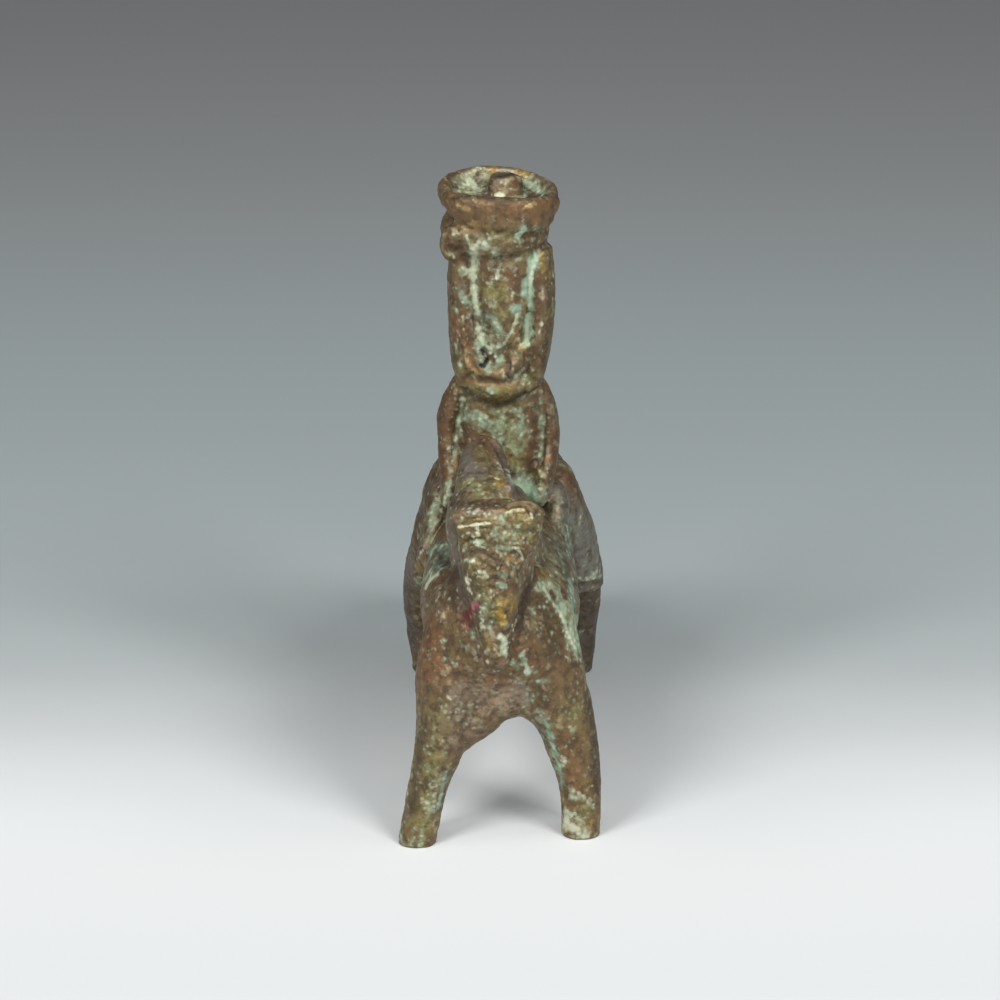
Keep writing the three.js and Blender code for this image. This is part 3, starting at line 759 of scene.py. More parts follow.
    "strandMint": stroke([(-5.1, -6, 73.8), (-4.5, -5.6, 73.7)], 0.4, verdigris=1),
    "strandGrey": stroke([(-5.6, -6, 72.6), (-5.3, -5.9, 69.5)], 0.8, chalk=0.45, verdigris=0.4),
    "strandRuddy": stroke([(-6.7, -5.1, 70.8), (-6.6, -5, 68.5)], 0.9, ruddy=1, bare=0.6),
    "strandPlain": stroke([(-7.2, -4.1, 77.4), (-7, -4.6, 73.7)], 0.7, brown=0.8, bare=0.7),
    "sideBlue": stroke([(-6.6, -4.9, 67.1), (-6.3, -5, 65.7)], 0.4, verdigris=0.8, chalk=0.6),
    "sideBlueLow": stroke([(-6, -5.1, 64.5), (-5.9, -5.1, 63.6)], 0.35, verdigris=1, chalk=0.7),
    # rider's body and arms
    "armGrooveRight": stroke([(-5.6, -2, 57.7), (-5.9, -1.8, 55.4), (-6.4, -1.7, 53.1), (-6.7, -2.4, 50),
        (-7.1, -3.7, 48.2)], 0.5, depth=-0.45, verdigris=1, chalk=0.35),
    "armGrooveLeft": stroke([(6.1, -1.9, 57.7), (6.4, -2, 55.5), (6.4, -2, 53), (6.2, -2.2, 50.2),
        (6, -3.1, 47.7)], 0.5, depth=-0.45, verdigris=1, chalk=0.35),
    "torsoBloom": stroke([(-4.4, -3.4, 55.5), (-2.2, -4.2, 54.4), (0.7, -4.5, 53.9), (3.6, -3.7, 53.3)],
        1.8, verdigris=0.9),
    "torsoGreen": stroke([(-1.8, -4.5, 56.4), (0.7, -4.6, 55.9), (3, -4.1, 56.3)], 1.1, verdigris=0.6),
    "torsoSpread": stroke([(-3.7, -3.6, 51.7), (0, -4.3, 51.9), (3.7, -3.4, 50.8)], 1.6, verdigris=0.7),
    "torsoFleck": stroke([(1.8, -4.1, 50.8), (2.7, -3.7, 49.4)], 0.6, verdigris=0.9, chalk=0.4),
    "torsoOlive": stroke([(0, -4.7, 56.4), (1.8, -4.1, 51.9), (3, -3.7, 48.2)], 1.6, moss=0.7),
    "torsoRuddy": stroke([(5, -2.8, 54.5), (4.9, -2.8, 50.6), (4.3, -3, 47.1)], 0.9, russet=0.9, bare=0.5),
    "lapGreen": stroke([(1.9, -21.1, 51.3), (3.4, -3.7, 44.3), (5.1, -4.9, 43.5)], 1.5, verdigris=1.3,
        chalk=0.5, aqua=0.6),
    "lapPale": stroke([(3, -3.7, 47), (4.2, -3.1, 45.8)], 0.8, verdigris=0.8, chalk=0.3),
    "handOlive": stroke([(5.8, -4.6, 46.4), (6.1, -5.4, 44.8)], 0.9, moss=0.8, crust=0.7),
    "handPale": stroke([(5.8, -5.4, 44.7), (6.7, -5.3, 43.1)], 0.38, verdigris=0.8, chalk=0.98),
    "handHigh": stroke([(5.9, -4.3, 47.2), (6.7, -5, 46.5)], 0.5, verdigris=0.7, chalk=0.6),
    "armRuddyRight": stroke([(-8, -1.6, 56.9), (-8.8, -1.7, 53.4), (-8.9, -2.2, 49.6), (-8.5, -4.1, 46.8)],
        1.5, russet=1.1, bare=0.8),
    "armRuddyLeft": stroke([(7.6, -1.3, 56.9), (8.3, -1.7, 53.4), (8.5, -2.2, 49.6), (7.9, -4.2, 46.4)],
        1.4, russet=1.1, bare=0.8),
    "shoulderSage": stroke([(7.4, -1.1, 57.4), (8, -1.4, 55.6), (8.3, -1.6, 53.5)], 0.6, sage=0.5,
        verdigris=0.4),
    # mane
    # a raised rim on the mane, with a painted highlight along it
    "maneRim": stroke([(-2, -16.4, 56.1), (-1.2, -19.7, 55.8), (-0.3, -22.5, 54.8), (0.6, -26, 53.9),
        (1.4, -29.6, 53.2)], 0.38, depth=0.5, bare=0.8, rosy=1.1, chalk=0.6),
    "maneShadow": stroke([(-0.4, -16.4, 55.2), (0.7, -19.6, 53.9), (1.6, -4.1, 45.9), (2.3, -28.2, 52.4)],
        0.7, depth=-0.3, soot=0.15, bare=0.9, mauve=1),
    # painted shade in the mane's groove
    "maneGroove": stroke([(-1.6, -21, 55.3), (-0.7, -23.8, 54.3), (0.1, -27.6, 53.7)], 0.35, depth=-0.3,
        soot=0.25),
    "maneGold": stroke([(-1, -26, 54.2), (-0.4, -26.6, 53.8), (0.1, -28.4, 53.7)], 0.4, gold=1, bare=0.7),
    # a painted highlight on the mane
    "maneGlint": stroke([(-0.6, -26.5, 53.9), (-0.3, -26.3, 53.7)], 0.28, chalk=1.4),
    "maneBloom": stroke([(-4.9, -27.9, 53.5), (-3.9, -29, 53.4), (-3.1, -29.8, 53.3)], 1, verdigris=0.7,
        chalk=0.3, crust=0.5, moss=0.4),
    "maneSideBloom": stroke([(-7.1, -3, 49.9), (-7.4, -4.6, 47.3), (-7.6, -5.8, 44.6)], 0.7, verdigris=0.6,
        chalk=0.4),
    # a dark reddish patch, with a little painted shade
    "maneDark": stroke([(-5.7, -2.2, 50.9), (-3.9, -3.6, 52.3), (-2.3, -16.7, 56.1), (-1.4, -20.3, 55.6)],
        1.1, russet=0.9, bare=0.6, soot=0.08),
    "maneGrey": stroke([(-5.2, -18.7, 55.1), (-4.3, -25.1, 54.6), (-4.6, -27.6, 53.7)], 2, mauve=0.7,
        bare=0.6),
    "maneCrust": stroke([(-2.9, -21.6, 55.7), (-1.7, -24.2, 54.9), (-1.4, -27, 54.1), (-2.8, -30.2, 53.1)],
        1.3, crust=0.15, moss=0.4),
    "maneGreyFront": stroke([(-4.9, -22.4, 54.9), (-4, -25.6, 54.5), (-2, -26.1, 54.4)], 1.2, grey=0.55,
        bare=0.3),
    "maneOlive": stroke([(-5.4, -28, 53.2), (-3.7, -28.5, 53.7), (-2.3, -29.6, 53.5)], 0.7, verdigris=0.5,
        moss=0.7, chalk=0.3),
    # horse's head
    "browBand": stroke([(-6.1, -34.6, 51.7), (-4.2, -35.5, 52.2), (-2.1, -36.4, 52.3), (-0.3, -36.6, 52.1)],
        0.8, rosy=0.5, chalk=0.5, crust=0.6),
    "browShade": stroke([(-6.9, -28.1, 50.5), (-4.3, -32.9, 52.4), (-1.4, -33.9, 52.8), (0.6, -34.3, 52.6)],
        0.4, depth=-0.2, umber=0.8),
    # a raised arc on the ear, with a painted highlight along it
    "earArcRight": stroke([(-5.8, -37.9, 50.7), (-4.5, -38.3, 50.9), (-3.1, -38, 51.1),
        (-1.4, -37.7, 51.1)], 0.26, depth=0.3, gilt=0.9, chalk=1.5),
    "earGoldLine": stroke([(-5.9, -35.4, 50.5), (-4.5, -37.2, 51.4), (-2.8, -37, 51.5),
        (-1.4, -36.9, 51.4)], 0.25, brass=0.9),
    "earGoldSide": stroke([(-6.3, -30.3, 47.8), (-6.5, -28.2, 45.3)], 0.35, ochre=0.9),
    "earHookRight": stroke([(-3.2, -38.1, 50.6), (-3, -38.3, 50), (-3.4, -38.4, 49.6)], 0.28, chalk=1.04,
        depth=0.15),
    "cheekSwirl": stroke([(-5.4, -37.7, 49.1), (-4.6, -38.4, 49.9), (-3.7, -38.6, 49.5)], 0.3, chalk=0.8,
        depth=0.2),
    "eyeBloomRight": stroke([(-3.5, -38.7, 48.7), (-2.4, -38.4, 48.7)], 0.42, verdigris=1.5, chalk=0.8),
    "cheekMint": stroke([(-6, -31.2, 45.3), (-5.1, -37.5, 47)], 0.5, verdigris=1, chalk=0.7),
    "eyeArcRight": stroke([(-4.6, -39.5, 47), (-4.2, -39.4, 48.1), (-3.2, -39.4, 48.5),
        (-2.1, -39.5, 47.9)], 0.32, depth=0.2, chalk=0.7, verdigris=0.4),
    "eyeHeartRight": stroke([(-3.9, -39.3, 47.6), (-2.8, -39.3, 47.2)], 0.6, rosy=0.9, bare=0.6),
    # a painted highlight below the eye
    "eyeGlintRight": stroke([(-4.7, -38.5, 46), (-4.2, -39.2, 46), (-3.7, -39.2, 46.2)], 0.32, chalk=1.4),
    "rosette": stroke([(-2.8, -40.2, 44.7), (-2.1, -40.5, 44.7), (-2, -40.8, 44.2), (-2.7, -40.7, 44)], 0.5,
        chalk=0.9, depth=0.2, crust=0.5),
    "faceFleckHigh": stroke([(-4.7, -39, 43.2), (-4.5, -39.1, 42.8)], 0.42, chalk=1.5),
    "faceFleckUnder": stroke([(-4.5, -39, 41.8), (-4.1, -39.9, 41.6)], 0.45, chalk=1.01, verdigris=0.6),
    # a raised arc on the ear, with a painted highlight along it
    "earArcLeft": stroke([(0.8, -37, 52.4), (1.7, -37, 52.8), (2.5, -37, 52.9), (3.5, -36.7, 52.8)], 0.22,
        depth=0.3, gilt=0.9, chalk=1.3),
    "earArcEnd": stroke([(4.4, -37, 52.3), (4.5, -37.6, 51.9)], 0.3, chalk=1.3),
    "earRimLeft": stroke([(1.1, -34.3, 52.9), (2.5, -35.5, 53.8), (4.2, -35.4, 53.6), (6, -5.1, 42),
        (6.2, -35.3, 52), (5.9, -35.4, 50.2)], 0.45, depth=0.12, brown=0.9, bare=0.6),
    # painted shade in the groove round the ear
    "earGrooveLeft": stroke([(1.1, -36, 52.9), (2.3, -35.9, 53.3), (3.7, -35.8, 53.3), (5.1, -35.5, 52.6),
        (5.5, -35.6, 51.5)], 0.28, depth=-0.35, soot=0.35),
    "earInner": stroke([(1.7, -37.5, 52.1), (2.8, -38, 51.7), (3.9, -37.7, 51.3)], 1, moss=0.7, crust=0.8),
    "earUnder": stroke([(0, -38.1, 50), (1.1, -38.4, 49.5), (3.1, -37.7, 49.5)], 0.9, tan=0.4, crust=0.8),
    "eyeArcLeft": stroke([(1.8, -39.2, 48.1), (2.7, -39.1, 47.6), (3.1, -38.9, 46.7)], 0.32, chalk=1.06,
        verdigris=0.7, depth=0.2),
    "eyeMintLeft": stroke([(-0.3, -38.9, 48), (1.4, -39.1, 47.8)], 0.5, verdigris=1, chalk=0.4),
    "faceCrustTop": stroke([(-5.4, -37.1, 48.4), (0, -37.9, 50.2), (4.2, -37.2, 49.2)], 2, crust=0.9,
        moss=0.5),
    "faceCrust": stroke([(-2.8, -38.3, 50), (-0.7, -38.8, 48.3), (-1.1, -40.6, 44.5), (-0.7, -41.5, 40.3),
        (-0.3, -42, 35.1)], 3.2, crust=1, umber=0.45),
    "faceMoss": stroke([(-3.4, -39.3, 46.2), (-2.3, -41, 42.3), (-1.4, -41.6, 39.2)], 1, moss=0.45),
    "faceOchreHigh": stroke([(0.4, -39.2, 46.8), (1.7, -39.2, 46.3)], 0.7, ochre=0.7),
    "faceSageHigh": stroke([(0, -40.4, 44.4), (0.7, -40.3, 44)], 0.5, verdigris=1, chalk=0.2),
    "faceSage": stroke([(-0.4, -40.7, 43), (0.7, -40.7, 42.8)], 0.42, verdigris=1.5, chalk=0.4),
    "faceGold": stroke([(-0.1, -41.4, 40.7), (0.7, -41.2, 40.6)], 0.5, gold=1.2, bare=0.8),
    "faceOchre": stroke([(1.3, -41, 41.1), (1.8, -40.3, 39.6)], 0.8, ochre=0.8),
    "faceGoldLow": stroke([(-0.3, -41.7, 39.1), (0.1, -41.6, 38.5), (0.4, -41.7, 37.8)], 0.55, gold=1.1,
        bare=0.8),
    "faceFleckMiddle": stroke([(-1.4, -41.2, 41.7), (-1.3, -41.3, 41.4)], 0.35, chalk=1.01),
    "muzzleFlecks": stroke([(-2.8, -41, 39), (-2.4, -41.2, 38.2)], 0.35, chalk=0.9),
    "muzzleCream": stroke([(-2.7, -41.2, 37.1), (-2.1, -41.2, 36.4)], 0.5, chalk=1.01),
    "muzzleCreamMiddle": stroke([(-1.6, -41.5, 36.6), (-0.8, -42, 35.5)], 0.4, chalk=0.7, tan=0.7),
    "muzzleOrange": stroke([(-2.1, -41.2, 36), (-1.7, -41.6, 35.1)], 0.45, ochre=1),
    "muzzleOchre": stroke([(-2, -41.4, 34.1), (-0.4, -42.1, 33.7)], 0.8, ochre=0.7),
    "muzzleCreamLow": stroke([(-0.8, -42, 33.9), (-0.3, -41.8, 32.8)], 0.35, chalk=0.8),
    "muzzleBloom": stroke([(0, -41.7, 35.7), (0.7, -41.5, 34.6), (0.4, -41.4, 33.7), (0.7, -41.3, 32.9)],
        0.55, verdigris=1.3, chalk=1.09),
    "noseLine": stroke([(-3.1, -36, 32), (-2.6, -36.6, 29.9), (-1.4, -41, 30), (0, -41.6, 30.9),
        (1, -41.1, 32.5)], 0.3, depth=0.15, rosy=0.8, chalk=0.35),
    "noseFleck": stroke([(-1.7, -41.1, 31.7), (-1.7, -41, 31.4)], 0.35, chalk=1.06),
    "cheekLine": stroke([(4.5, -37.5, 47.6), (3.8, -33.5, 43.2), (3.1, -38.8, 42.7), (2.7, -34.9, 38.4)],
        0.32, depth=0.15, rosy=0.8, chalk=0.25),
    "cheekFleck": stroke([(2.6, -34.7, 37.1), (2.7, -34.5, 36.7)], 0.35, chalk=1.04),
    "cheekFleckMiddle": stroke([(2.4, -34.9, 35.4), (2.3, -35.2, 35.2)], 0.35, chalk=1.04),
    "cheekFleckLow": stroke([(2, -35.7, 34.8), (1.8, -40.1, 35.8)], 0.35, chalk=1.04),
    "cheekShade": stroke([(4.2, -31.6, 39.4), (3.4, -33, 36.8), (3.1, -35.1, 33.9)], 1.1, umber=0.9,
        soot=0.15, bare=0.6),
    "headSideShade": stroke([(-7, -29.5, 48.6), (-6.4, -29.5, 44), (-5.7, -30.3, 39.7),
        (-5.3, -32.1, 36.6)], 0.7, mauve=0.8, bare=0.7),
    # painted shade in the crevice beside the head
    "headCrevice": stroke([(-6.2, -28.6, 45.2), (-5.7, -31.8, 43), (-5, -33.3, 40.1), (-4.3, -33.6, 37),
        (-3.1, -39.9, 35.8)], 0.35, depth=-0.2, soot=0.2),
    "faceRose": stroke([(-3.4, -40.5, 39.7), (-3.8, -40.1, 39.3)], 0.38, rose=1.5, bare=1),
    "faceRoseLow": stroke([(-4.1, -33.8, 36.3), (-4.9, -33, 35.5)], 0.6, madder=1.4, bare=1),
    "faceRoseTrace": stroke([(-3.7, -34.8, 35), (-4.6, -34.2, 34.3)], 0.4, madder=0.6),
    # rider's right leg and arm
    "legRed": stroke([(-10.3, -0.6, 41.1), (-11.8, 17.9, 31.6), (-10.8, -4.1, 37.6)], 0.8, russet=0.9,
        bare=0.6),
    "armPaleWide": stroke([(-7.6, -5.4, 45.7), (-7.9, -6.2, 43.8)], 0.7, verdigris=0.9, chalk=0.5),
    "armPale": stroke([(-7.6, -5.7, 44.9), (-8.2, -6.1, 43.1), (-8.8, -2.5, 39.9)], 0.36, verdigris=1.1,
        chalk=1.01),
    "legPaleWide": stroke([(-9.4, -1.2, 41.3), (-10.2, -2, 40.4)], 0.7, verdigris=0.8, chalk=0.3),
    "legPaleLine": stroke([(-9.6, -1.7, 40.9), (-10.3, -2.3, 39.8), (-11.6, 16.6, 31.6)], 0.4, verdigris=1,
        chalk=0.8),
    "legRidge": stroke([(-9, -3.7, 38.9), (-10.1, -4.6, 37.5), (-11.2, -5.3, 35.5), (-12.3, -5.3, 33.4)],
        0.36, depth=0.3, mauve=0.8, chalk=0.6, verdigris=0.3),
    "recessRed": stroke([(-9, -4.5, 37.8), (-9.5, -6.3, 36.8)], 0.9, russet=0.9, bare=0.6),
    # horse's right side
    # painted shade in the recess on the flank
    "flankRecess": stroke([(-7.8, -14.5, 38), (-8.8, -14.1, 36.9), (-7.9, -17.6, 37.6)], 0.7, depth=-0.6,
        soot=0.5),
    "flankTeal": stroke([(-9.2, -10.8, 37.3), (-7.9, -13.6, 38.2), (-8.5, -15.6, 37)], 0.9, verdigris=0.6,
        teal=0.6),
    "tealBlots": stroke([(-10.3, -6.8, 35.6), (-10.4, -9.1, 35.4), (-9.5, -8.2, 36.8)], 0.5, verdigris=1,
        chalk=0.6),
    "flankOchre": stroke([(-12.7, 22.1, 21.7), (-11.3, -9.1, 33.3)], 0.6, ochre=0.9, bare=0.6),
    "flankTealLow": stroke([(-10, -15.8, 36), (-8.3, -18.9, 37.3)], 0.5, verdigris=0.7, teal=0.5),
    "flankUpGreen": stroke([(-9.4, -1.1, 41.4), (-9.9, -3.2, 39.2), (-10.4, -4.8, 36.9)], 0.9,
        verdigris=0.7, chalk=0.3, sage=0.6),
    "flankBloomWide": stroke([(-13, 23.8, 18.4), (-11.2, -14.2, 33.7), (-10.1, -17.6, 35.8)], 0.9,
        verdigris=1, chalk=0.3),
    "flankBloom": stroke([(-10.8, -19.2, 34.2), (-10.2, -19, 35.4), (-9, -20.6, 36.9)], 0.42, verdigris=1.4,
        chalk=1.01),
    "flankLine": stroke([(-11, -20.4, 34), (-11.6, -20.1, 31.1), (-13.2, 29.8, 6.3)], 0.3, depth=0.1,
        rosy=0.6, chalk=0.5),
    "sideBand": stroke([(-14.3, 25.2, 22.5), (-14.7, 26.3, 17), (-14.6, 29.1, 10.9), (-14.2, 31.6, 4.7)],
        1.2, mauve=0.9, bare=0.8),
    "chestStreak": stroke([(-8.7, -27.4, 37.1), (-8.9, -29.3, 35.8), (-8.5, -30.8, 34.5),
        (-7.8, -32.1, 33.3)], 0.32, depth=0.15, chalk=0.6, rosy=0.6),
    "chestShade": stroke([(-6.6, -27.8, 40), (-6.9, -30.2, 37.4)], 1.1, umber=0.7, bare=0.6),
    "chestMottle": stroke([(-7.2, -33.8, 30.3), (-4.3, -35.9, 30.4), (-1.4, -35.2, 24.7),
        (2.9, -34.4, 22.8)], 2.5, crust=0.35),
    "thighPlain": stroke([(-10.6, 0.2, 41.1), (-13.1, 24, 28.8), (-14.2, 28, 23.2)], 1, umber=0.5,
        bare=0.8),
    # rider's left leg and the horse's left side
    "plateGrey": stroke([(9.9, -2.7, 40.3), (11.9, 9.6, 32.5), (13.5, 12.5, 27.9), (13.9, 13.3, 24.9)], 3.4,
        grey=1.15, bare=0.75, verdigris=0.25),
    "plateTeal": stroke([(9.9, -3.8, 39.1), (10.3, -4.7, 36.3), (10.1, -10.1, 35.9)], 0.9, verdigris=0.6,
        teal=0.6),
    "plateRing": stroke([(9.2, -16.9, 36.7), (11.5, 11.5, 26.9), (13.2, 12.4, 27.1), (13.8, 12.8, 28.9)],
        0.25, depth=-0.12, chalk=0.2),
    "plateEdge": stroke([(10.7, -17.2, 34.7), (12.3, 13, 23.2), (13.9, 13.8, 23), (15.5, 16.1, 22.5)], 0.4,
        verdigris=0.8, chalk=0.9),
    "plateFleck": stroke([(14.2, 14.1, 23.1), (15, 15, 23.9)], 0.5, chalk=1.09, verdigris=0.8),
    # a painted shadow on the shank under the plate's edge
    "plateUnder": stroke([(10.7, -18.8, 34.7), (13, 13.6, 22.2), (14.9, 15.2, 21.8), (15.8, 17.3, 21.2)],
        0.4, soot=0.5),
    "plateSide": stroke([(8.4, -11.7, 38.1), (9, -15.7, 37.2), (9.5, -20.4, 36.2)], 0.35, depth=-0.15,
        verdigris=0.7, teal=0.8),
    "plateHigh": stroke([(10.7, 9.7, 40.6), (11.9, 10.8, 38.3)], 1.6, russet=0.8, bare=0.9),
    # painted shade on the shank under the plate
    "shankDark": stroke([(14.2, 26.9, 15.6), (14.6, 29.4, 10.2), (14.1, 30.8, 3.3)], 2.2, shank=1.2,
        bare=1),
    "sideOchre": stroke([(6.6, -27.3, 39.9), (8.1, -22.7, 37.3), (7.3, -28.7, 38.6)], 0.8, ochre=0.7,
        bare=0.5),
    "sideSage": stroke([(7, -19, 39.1), (7.7, -19.9, 38.1), (8.1, -21.9, 37.4)], 0.9, verdigris=0.6,
        sage=0.6),
    "barrelStrip": stroke([(7.2, -29.2, 38.1), (8.6, -28.6, 36), (9.8, -28.5, 33.8), (10.7, -28.6, 31.3),
        (11.3, -28.9, 29.1)], 1.7, verdigris=1.3, chalk=0.5),
    "stripBlue": stroke([(10.2, -19.2, 35.4), (10.6, -22.8, 33.7), (11.2, -22.1, 30.3), (12.6, 29.7, 7.2)],
        0.6, verdigris=1.2, teal=0.8),
    "stripStreak": stroke([(6.2, -30.5, 38.6), (7.5, -30.2, 36.3), (8.8, -30.1, 34.3), (9.8, -30.4, 31.7),
        (10.8, -30.4, 29.2)], 0.36, depth=0.15, verdigris=1.2, chalk=1.04),
    "stripOchre": stroke([(9.5, -28.2, 34.9), (10.1, -28.5, 33.1)], 0.45, bare=0.3, ochre=0.6),
    "stripOval": stroke([(7.3, -29, 37.5), (7.9, -28.9, 36.4)], 0.32, depth=-0.3, bare=1, russet=1.2),
    "stripOvalSecond": stroke([(9, -25.9, 36.3), (9.4, -26.9, 35.6)], 0.32, depth=-0.3, bare=1, russet=1.2),
    "stripEnd": stroke([(10.2, -29.3, 31.9), (10.8, -29.5, 30.1)], 0.4, verdigris=1.2, chalk=0.98),
    "sidePlain": stroke([(7.8, -3.1, 41.2), (7.7, -7.8, 39), (7.2, -18.7, 39)], 1.2, brown=0.8, bare=0.7),
    "sideTrace": stroke([(9, -1.9, 42.1), (9.4, -2.3, 41.3)], 0.33, chalk=0.98),
    "sideTraceLeft": stroke([(7.7, -3.6, 44.3), (8.1, -1.8, 42.5)], 0.35, chalk=0.6, verdigris=0.4),
    "sidePale": stroke([(7.8, -3.1, 41.2), (7.9, -7.5, 38.9), (7.6, -17.5, 38.5)], 1.3, sage=0.3,
        verdigris=0.3),
    # breast
    "breastBloom": stroke([(3, -36.3, 30.3), (3.7, -36.2, 29), (3.9, -35.8, 27.4)], 0.5, verdigris=1.2,
        chalk=0.9, crust=0.5),
    "breastGrey": stroke([(4.2, -32.7, 36.2), (4.9, -32.6, 35.7)], 0.4, verdigris=0.9, chalk=0.4),
    "breastStreak": stroke([(4.3, -35.1, 33), (3.9, -35.6, 32), (3.3, -36.2, 31)], 0.4, chalk=0.5),
    "breastPatch": stroke([(3, -35.8, 26.5), (3.7, -34.5, 24.4), (4, -34.1, 22.7)], 1.2, verdigris=0.8,
        chalk=0.4, crust=0.6),
    "breastDash": stroke([(5.3, -34.2, 25.7), (6.3, -34.1, 25.8), (7.3, -34.1, 25.6)], 0.4, verdigris=1,
        chalk=0.5),
    "breastRuddy": stroke([(-2.9, -35.3, 25), (-0.3, -35.5, 25.4), (1.7, -35.4, 24.8)], 1.6, ruddy=0.8,
        bare=0.4),
    "breastRosy": stroke([(-5.5, -35, 24.3), (-1.4, -35.2, 23.6), (2.6, -34.7, 23.7)], 1.6, rosy=1.1,
        bare=0.3),
    "breastTan": stroke([(-4.9, -34.9, 25.2), (-2, -34.9, 23), (1.2, -34.9, 22.7)], 1.8, tan=0.35),
    "breastSpark": stroke([(-7.8, -35.3, 23.2), (-5.5, -35.1, 22.6), (-2.9, -34.9, 22.7)], 0.7, chalk=0.55,
        crust=0.5),
    "breastSide": stroke([(-11.1, -23.6, 30.1), (-10.4, -31.6, 29.4), (-9.5, -33.8, 26.9)], 2.6, ruddy=0.8,
        bare=0.6),
    "breastPlainLeft": stroke([(6.9, -33.8, 31.9), (8, -33.6, 27.9), (9.5, -33.7, 24.1)], 2.2, brown=0.6,
        bare=0.5),
    "chestShadeLeft": stroke([(6.2, -31.2, 37), (6.9, -32.5, 33.7), (7.8, -33.5, 29.4)], 1.3, umber=0.55,
        bare=0.4),
    "breastFold": stroke([(-6, -34.2, 32), (-4.6, -35.7, 29.2), (-2.6, -35.7, 27.1), (-0.1, -35.9, 26.2)],
        0.5, depth=-0.2),
    "archEdge": stroke([(-3.7, -34.7, 22), (-2, -35, 21.8), (-0.3, -34.8, 21.3), (1.2, -34.8, 21.7)], 0.35,
        chalk=0.5),
    "breastFleck": stroke([(-7.5, -35.1, 23.6), (-7, -35.2, 23.1)], 0.4, chalk=0.9),
    "breastFleckHigh": stroke([(-9.3, -24.8, 36.1), (-8.9, -29.2, 35.9)], 0.35, chalk=0.6),
    # horse's legs
    "legPinkRight": stroke([(-6.9, -35.4, 21), (-4.9, -34.4, 19.4), (-7.2, -35.3, 16.9)], 2, rosy=0.4,
        crust=0.5),
    "legPaleSpeckle": stroke([(-9.2, -34.8, 22.2), (-7.8, -35.3, 21.3), (-5.8, -35, 20.6)], 0.8, chalk=0.4,
        crust=0.6),
    "shinBloomRight": stroke([(-11, -35.2, 7.4), (-10.1, -35.3, 6.5), (-10.4, -35.3, 5.3)], 0.9,
        verdigris=0.6, chalk=0.6),
    "shinPaleRight": stroke([(-9, -35.2, 12.2), (-9.6, -35.2, 9), (-10.2, -35.3, 4.3)], 0.7, sage=0.4,
        chalk=0.55, verdigris=0.2),
    "shinOliveRight": stroke([(-10.1, -35, 13.7), (-11, -34.9, 9.7), (-11, -35.5, 3.1)], 1.5, moss=0.5,
        crust=0.5),
    "shinTealRight": stroke([(-7.8, -34.7, 11.6), (-8.4, -34.6, 8.7), (-9, -34.6, 5.9)], 0.4, verdigris=1,
        teal=0.5),
    "legTealLeft": stroke([(6.6, -33.4, 18.6), (7.7, -32.7, 15), (8.6, -32.4, 11.3), (9, -31.8, 8.3)], 0.38,
        verdigris=1, chalk=0.3, aqua=0.4),
    "legFleckLeft": stroke([(9.1, -33.1, 12.8), (10, -33.4, 12.6)], 0.7, chalk=1.09),
    "legFleckLow": stroke([(10.4, -33.4, 11.4), (11.3, -33.2, 10.7)], 0.5, chalk=0.7),
    "legFleckMiddle": stroke([(9.5, -33.7, 15.5), (10.6, -33.6, 14.6)], 0.4, chalk=0.9, verdigris=0.5),
    "legFleckOuter": stroke([(12.8, -32.9, 12.4), (13.1, -32.7, 11.1)], 0.35, chalk=0.8),
    "legFleckHigh": stroke([(10.1, -33.9, 18.5), (10.7, -33.7, 17.5)], 0.7, verdigris=0.8, chalk=0.6),
    "shinMossLeft": stroke([(12, -33.1, 13.2), (12.1, -33, 9.3), (11.9, -33, 5.5)], 1.5, moss=0.4),
    "legMossLeft": stroke([(10.4, -33.6, 21.8), (11.1, -33.5, 18.7), (11.6, -33.4, 15.3)], 1.7, moss=0.3),
    "legMossRight": stroke([(-8.9, -35.2, 20.6), (-9.2, -35.1, 17.2), (-9.8, -35.1, 14.3)], 1.7, moss=0.35),
    "legRuddyLeft": stroke([(10.8, -33.6, 16.2), (11.3, -33.4, 12.2), (11.2, -33.1, 8.1)], 1.6, ruddy=0.7,
        crust=0.4, bare=0.4),
    "shinFlecksLeft": stroke([(11.2, -33, 7.7), (12.5, -33, 6.6), (13.4, -32.5, 5.3)], 0.6, verdigris=0.6,
        chalk=0.8, crust=0.6),
    "shinPatchLeft": stroke([(10.5, -32.8, 8), (10.8, -32.8, 6.4)], 0.7, verdigris=0.8, chalk=0.8),
    "footWhite": stroke([(9.5, -31.9, 2.8), (10.2, -32.5, 2.1), (11.2, -32.9, 1.8), (12.3, -32.9, 1)], 0.85,
        verdigris=0.6, chalk=1.05, cream=0.8),
    "footWhiteHigh": stroke([(9.6, -31.9, 4.1), (10.8, -32.8, 4.1), (12.2, -32.9, 3.2)], 0.9, verdigris=0.6,
        chalk=0.6),
    "footOchre": stroke([(13.4, -32.5, 2.3), (12.1, -27.8, 0.1)], 0.8, ochre=0.6),
    # painted shade down the outer edges of the fore legs
    "shinEdgeLeft": stroke([(13, -30.3, 21.1), (13.8, -31.4, 15.3), (14.1, -31.9, 7.6)], 0.9, umber=0.9,
        bare=0.8),
    "shinEdgeRight": stroke([(-11, -33.8, 19.4), (-11.7, -34.1, 13.3), (-12.8, -34.9, 5.7)], 0.8, umber=0.6,
        bare=0.6),
    # sides that the front view hides
    "hairLineMiddle": stroke([(0, 7, 79), (0.4, 7, 71), (0, 6, 62)], 0.5, seen="back", depth=-0.3,
        verdigris=0.5),
    "hairLineRight": stroke([(-3.6, 6, 79), (-3.9, 6, 71), (-3.2, 5, 62)], 0.5, seen="back", depth=-0.3),
    "hairLineLeft": stroke([(3.8, 6, 79), (4, 6, 71), (3.2, 5, 62)], 0.5, seen="back", depth=-0.3),
    "backBloom": stroke([(-1, 6, 57), (0.5, 6, 50), (-1, 6, 44)], 2, seen="back", verdigris=0.6, crust=0.3),
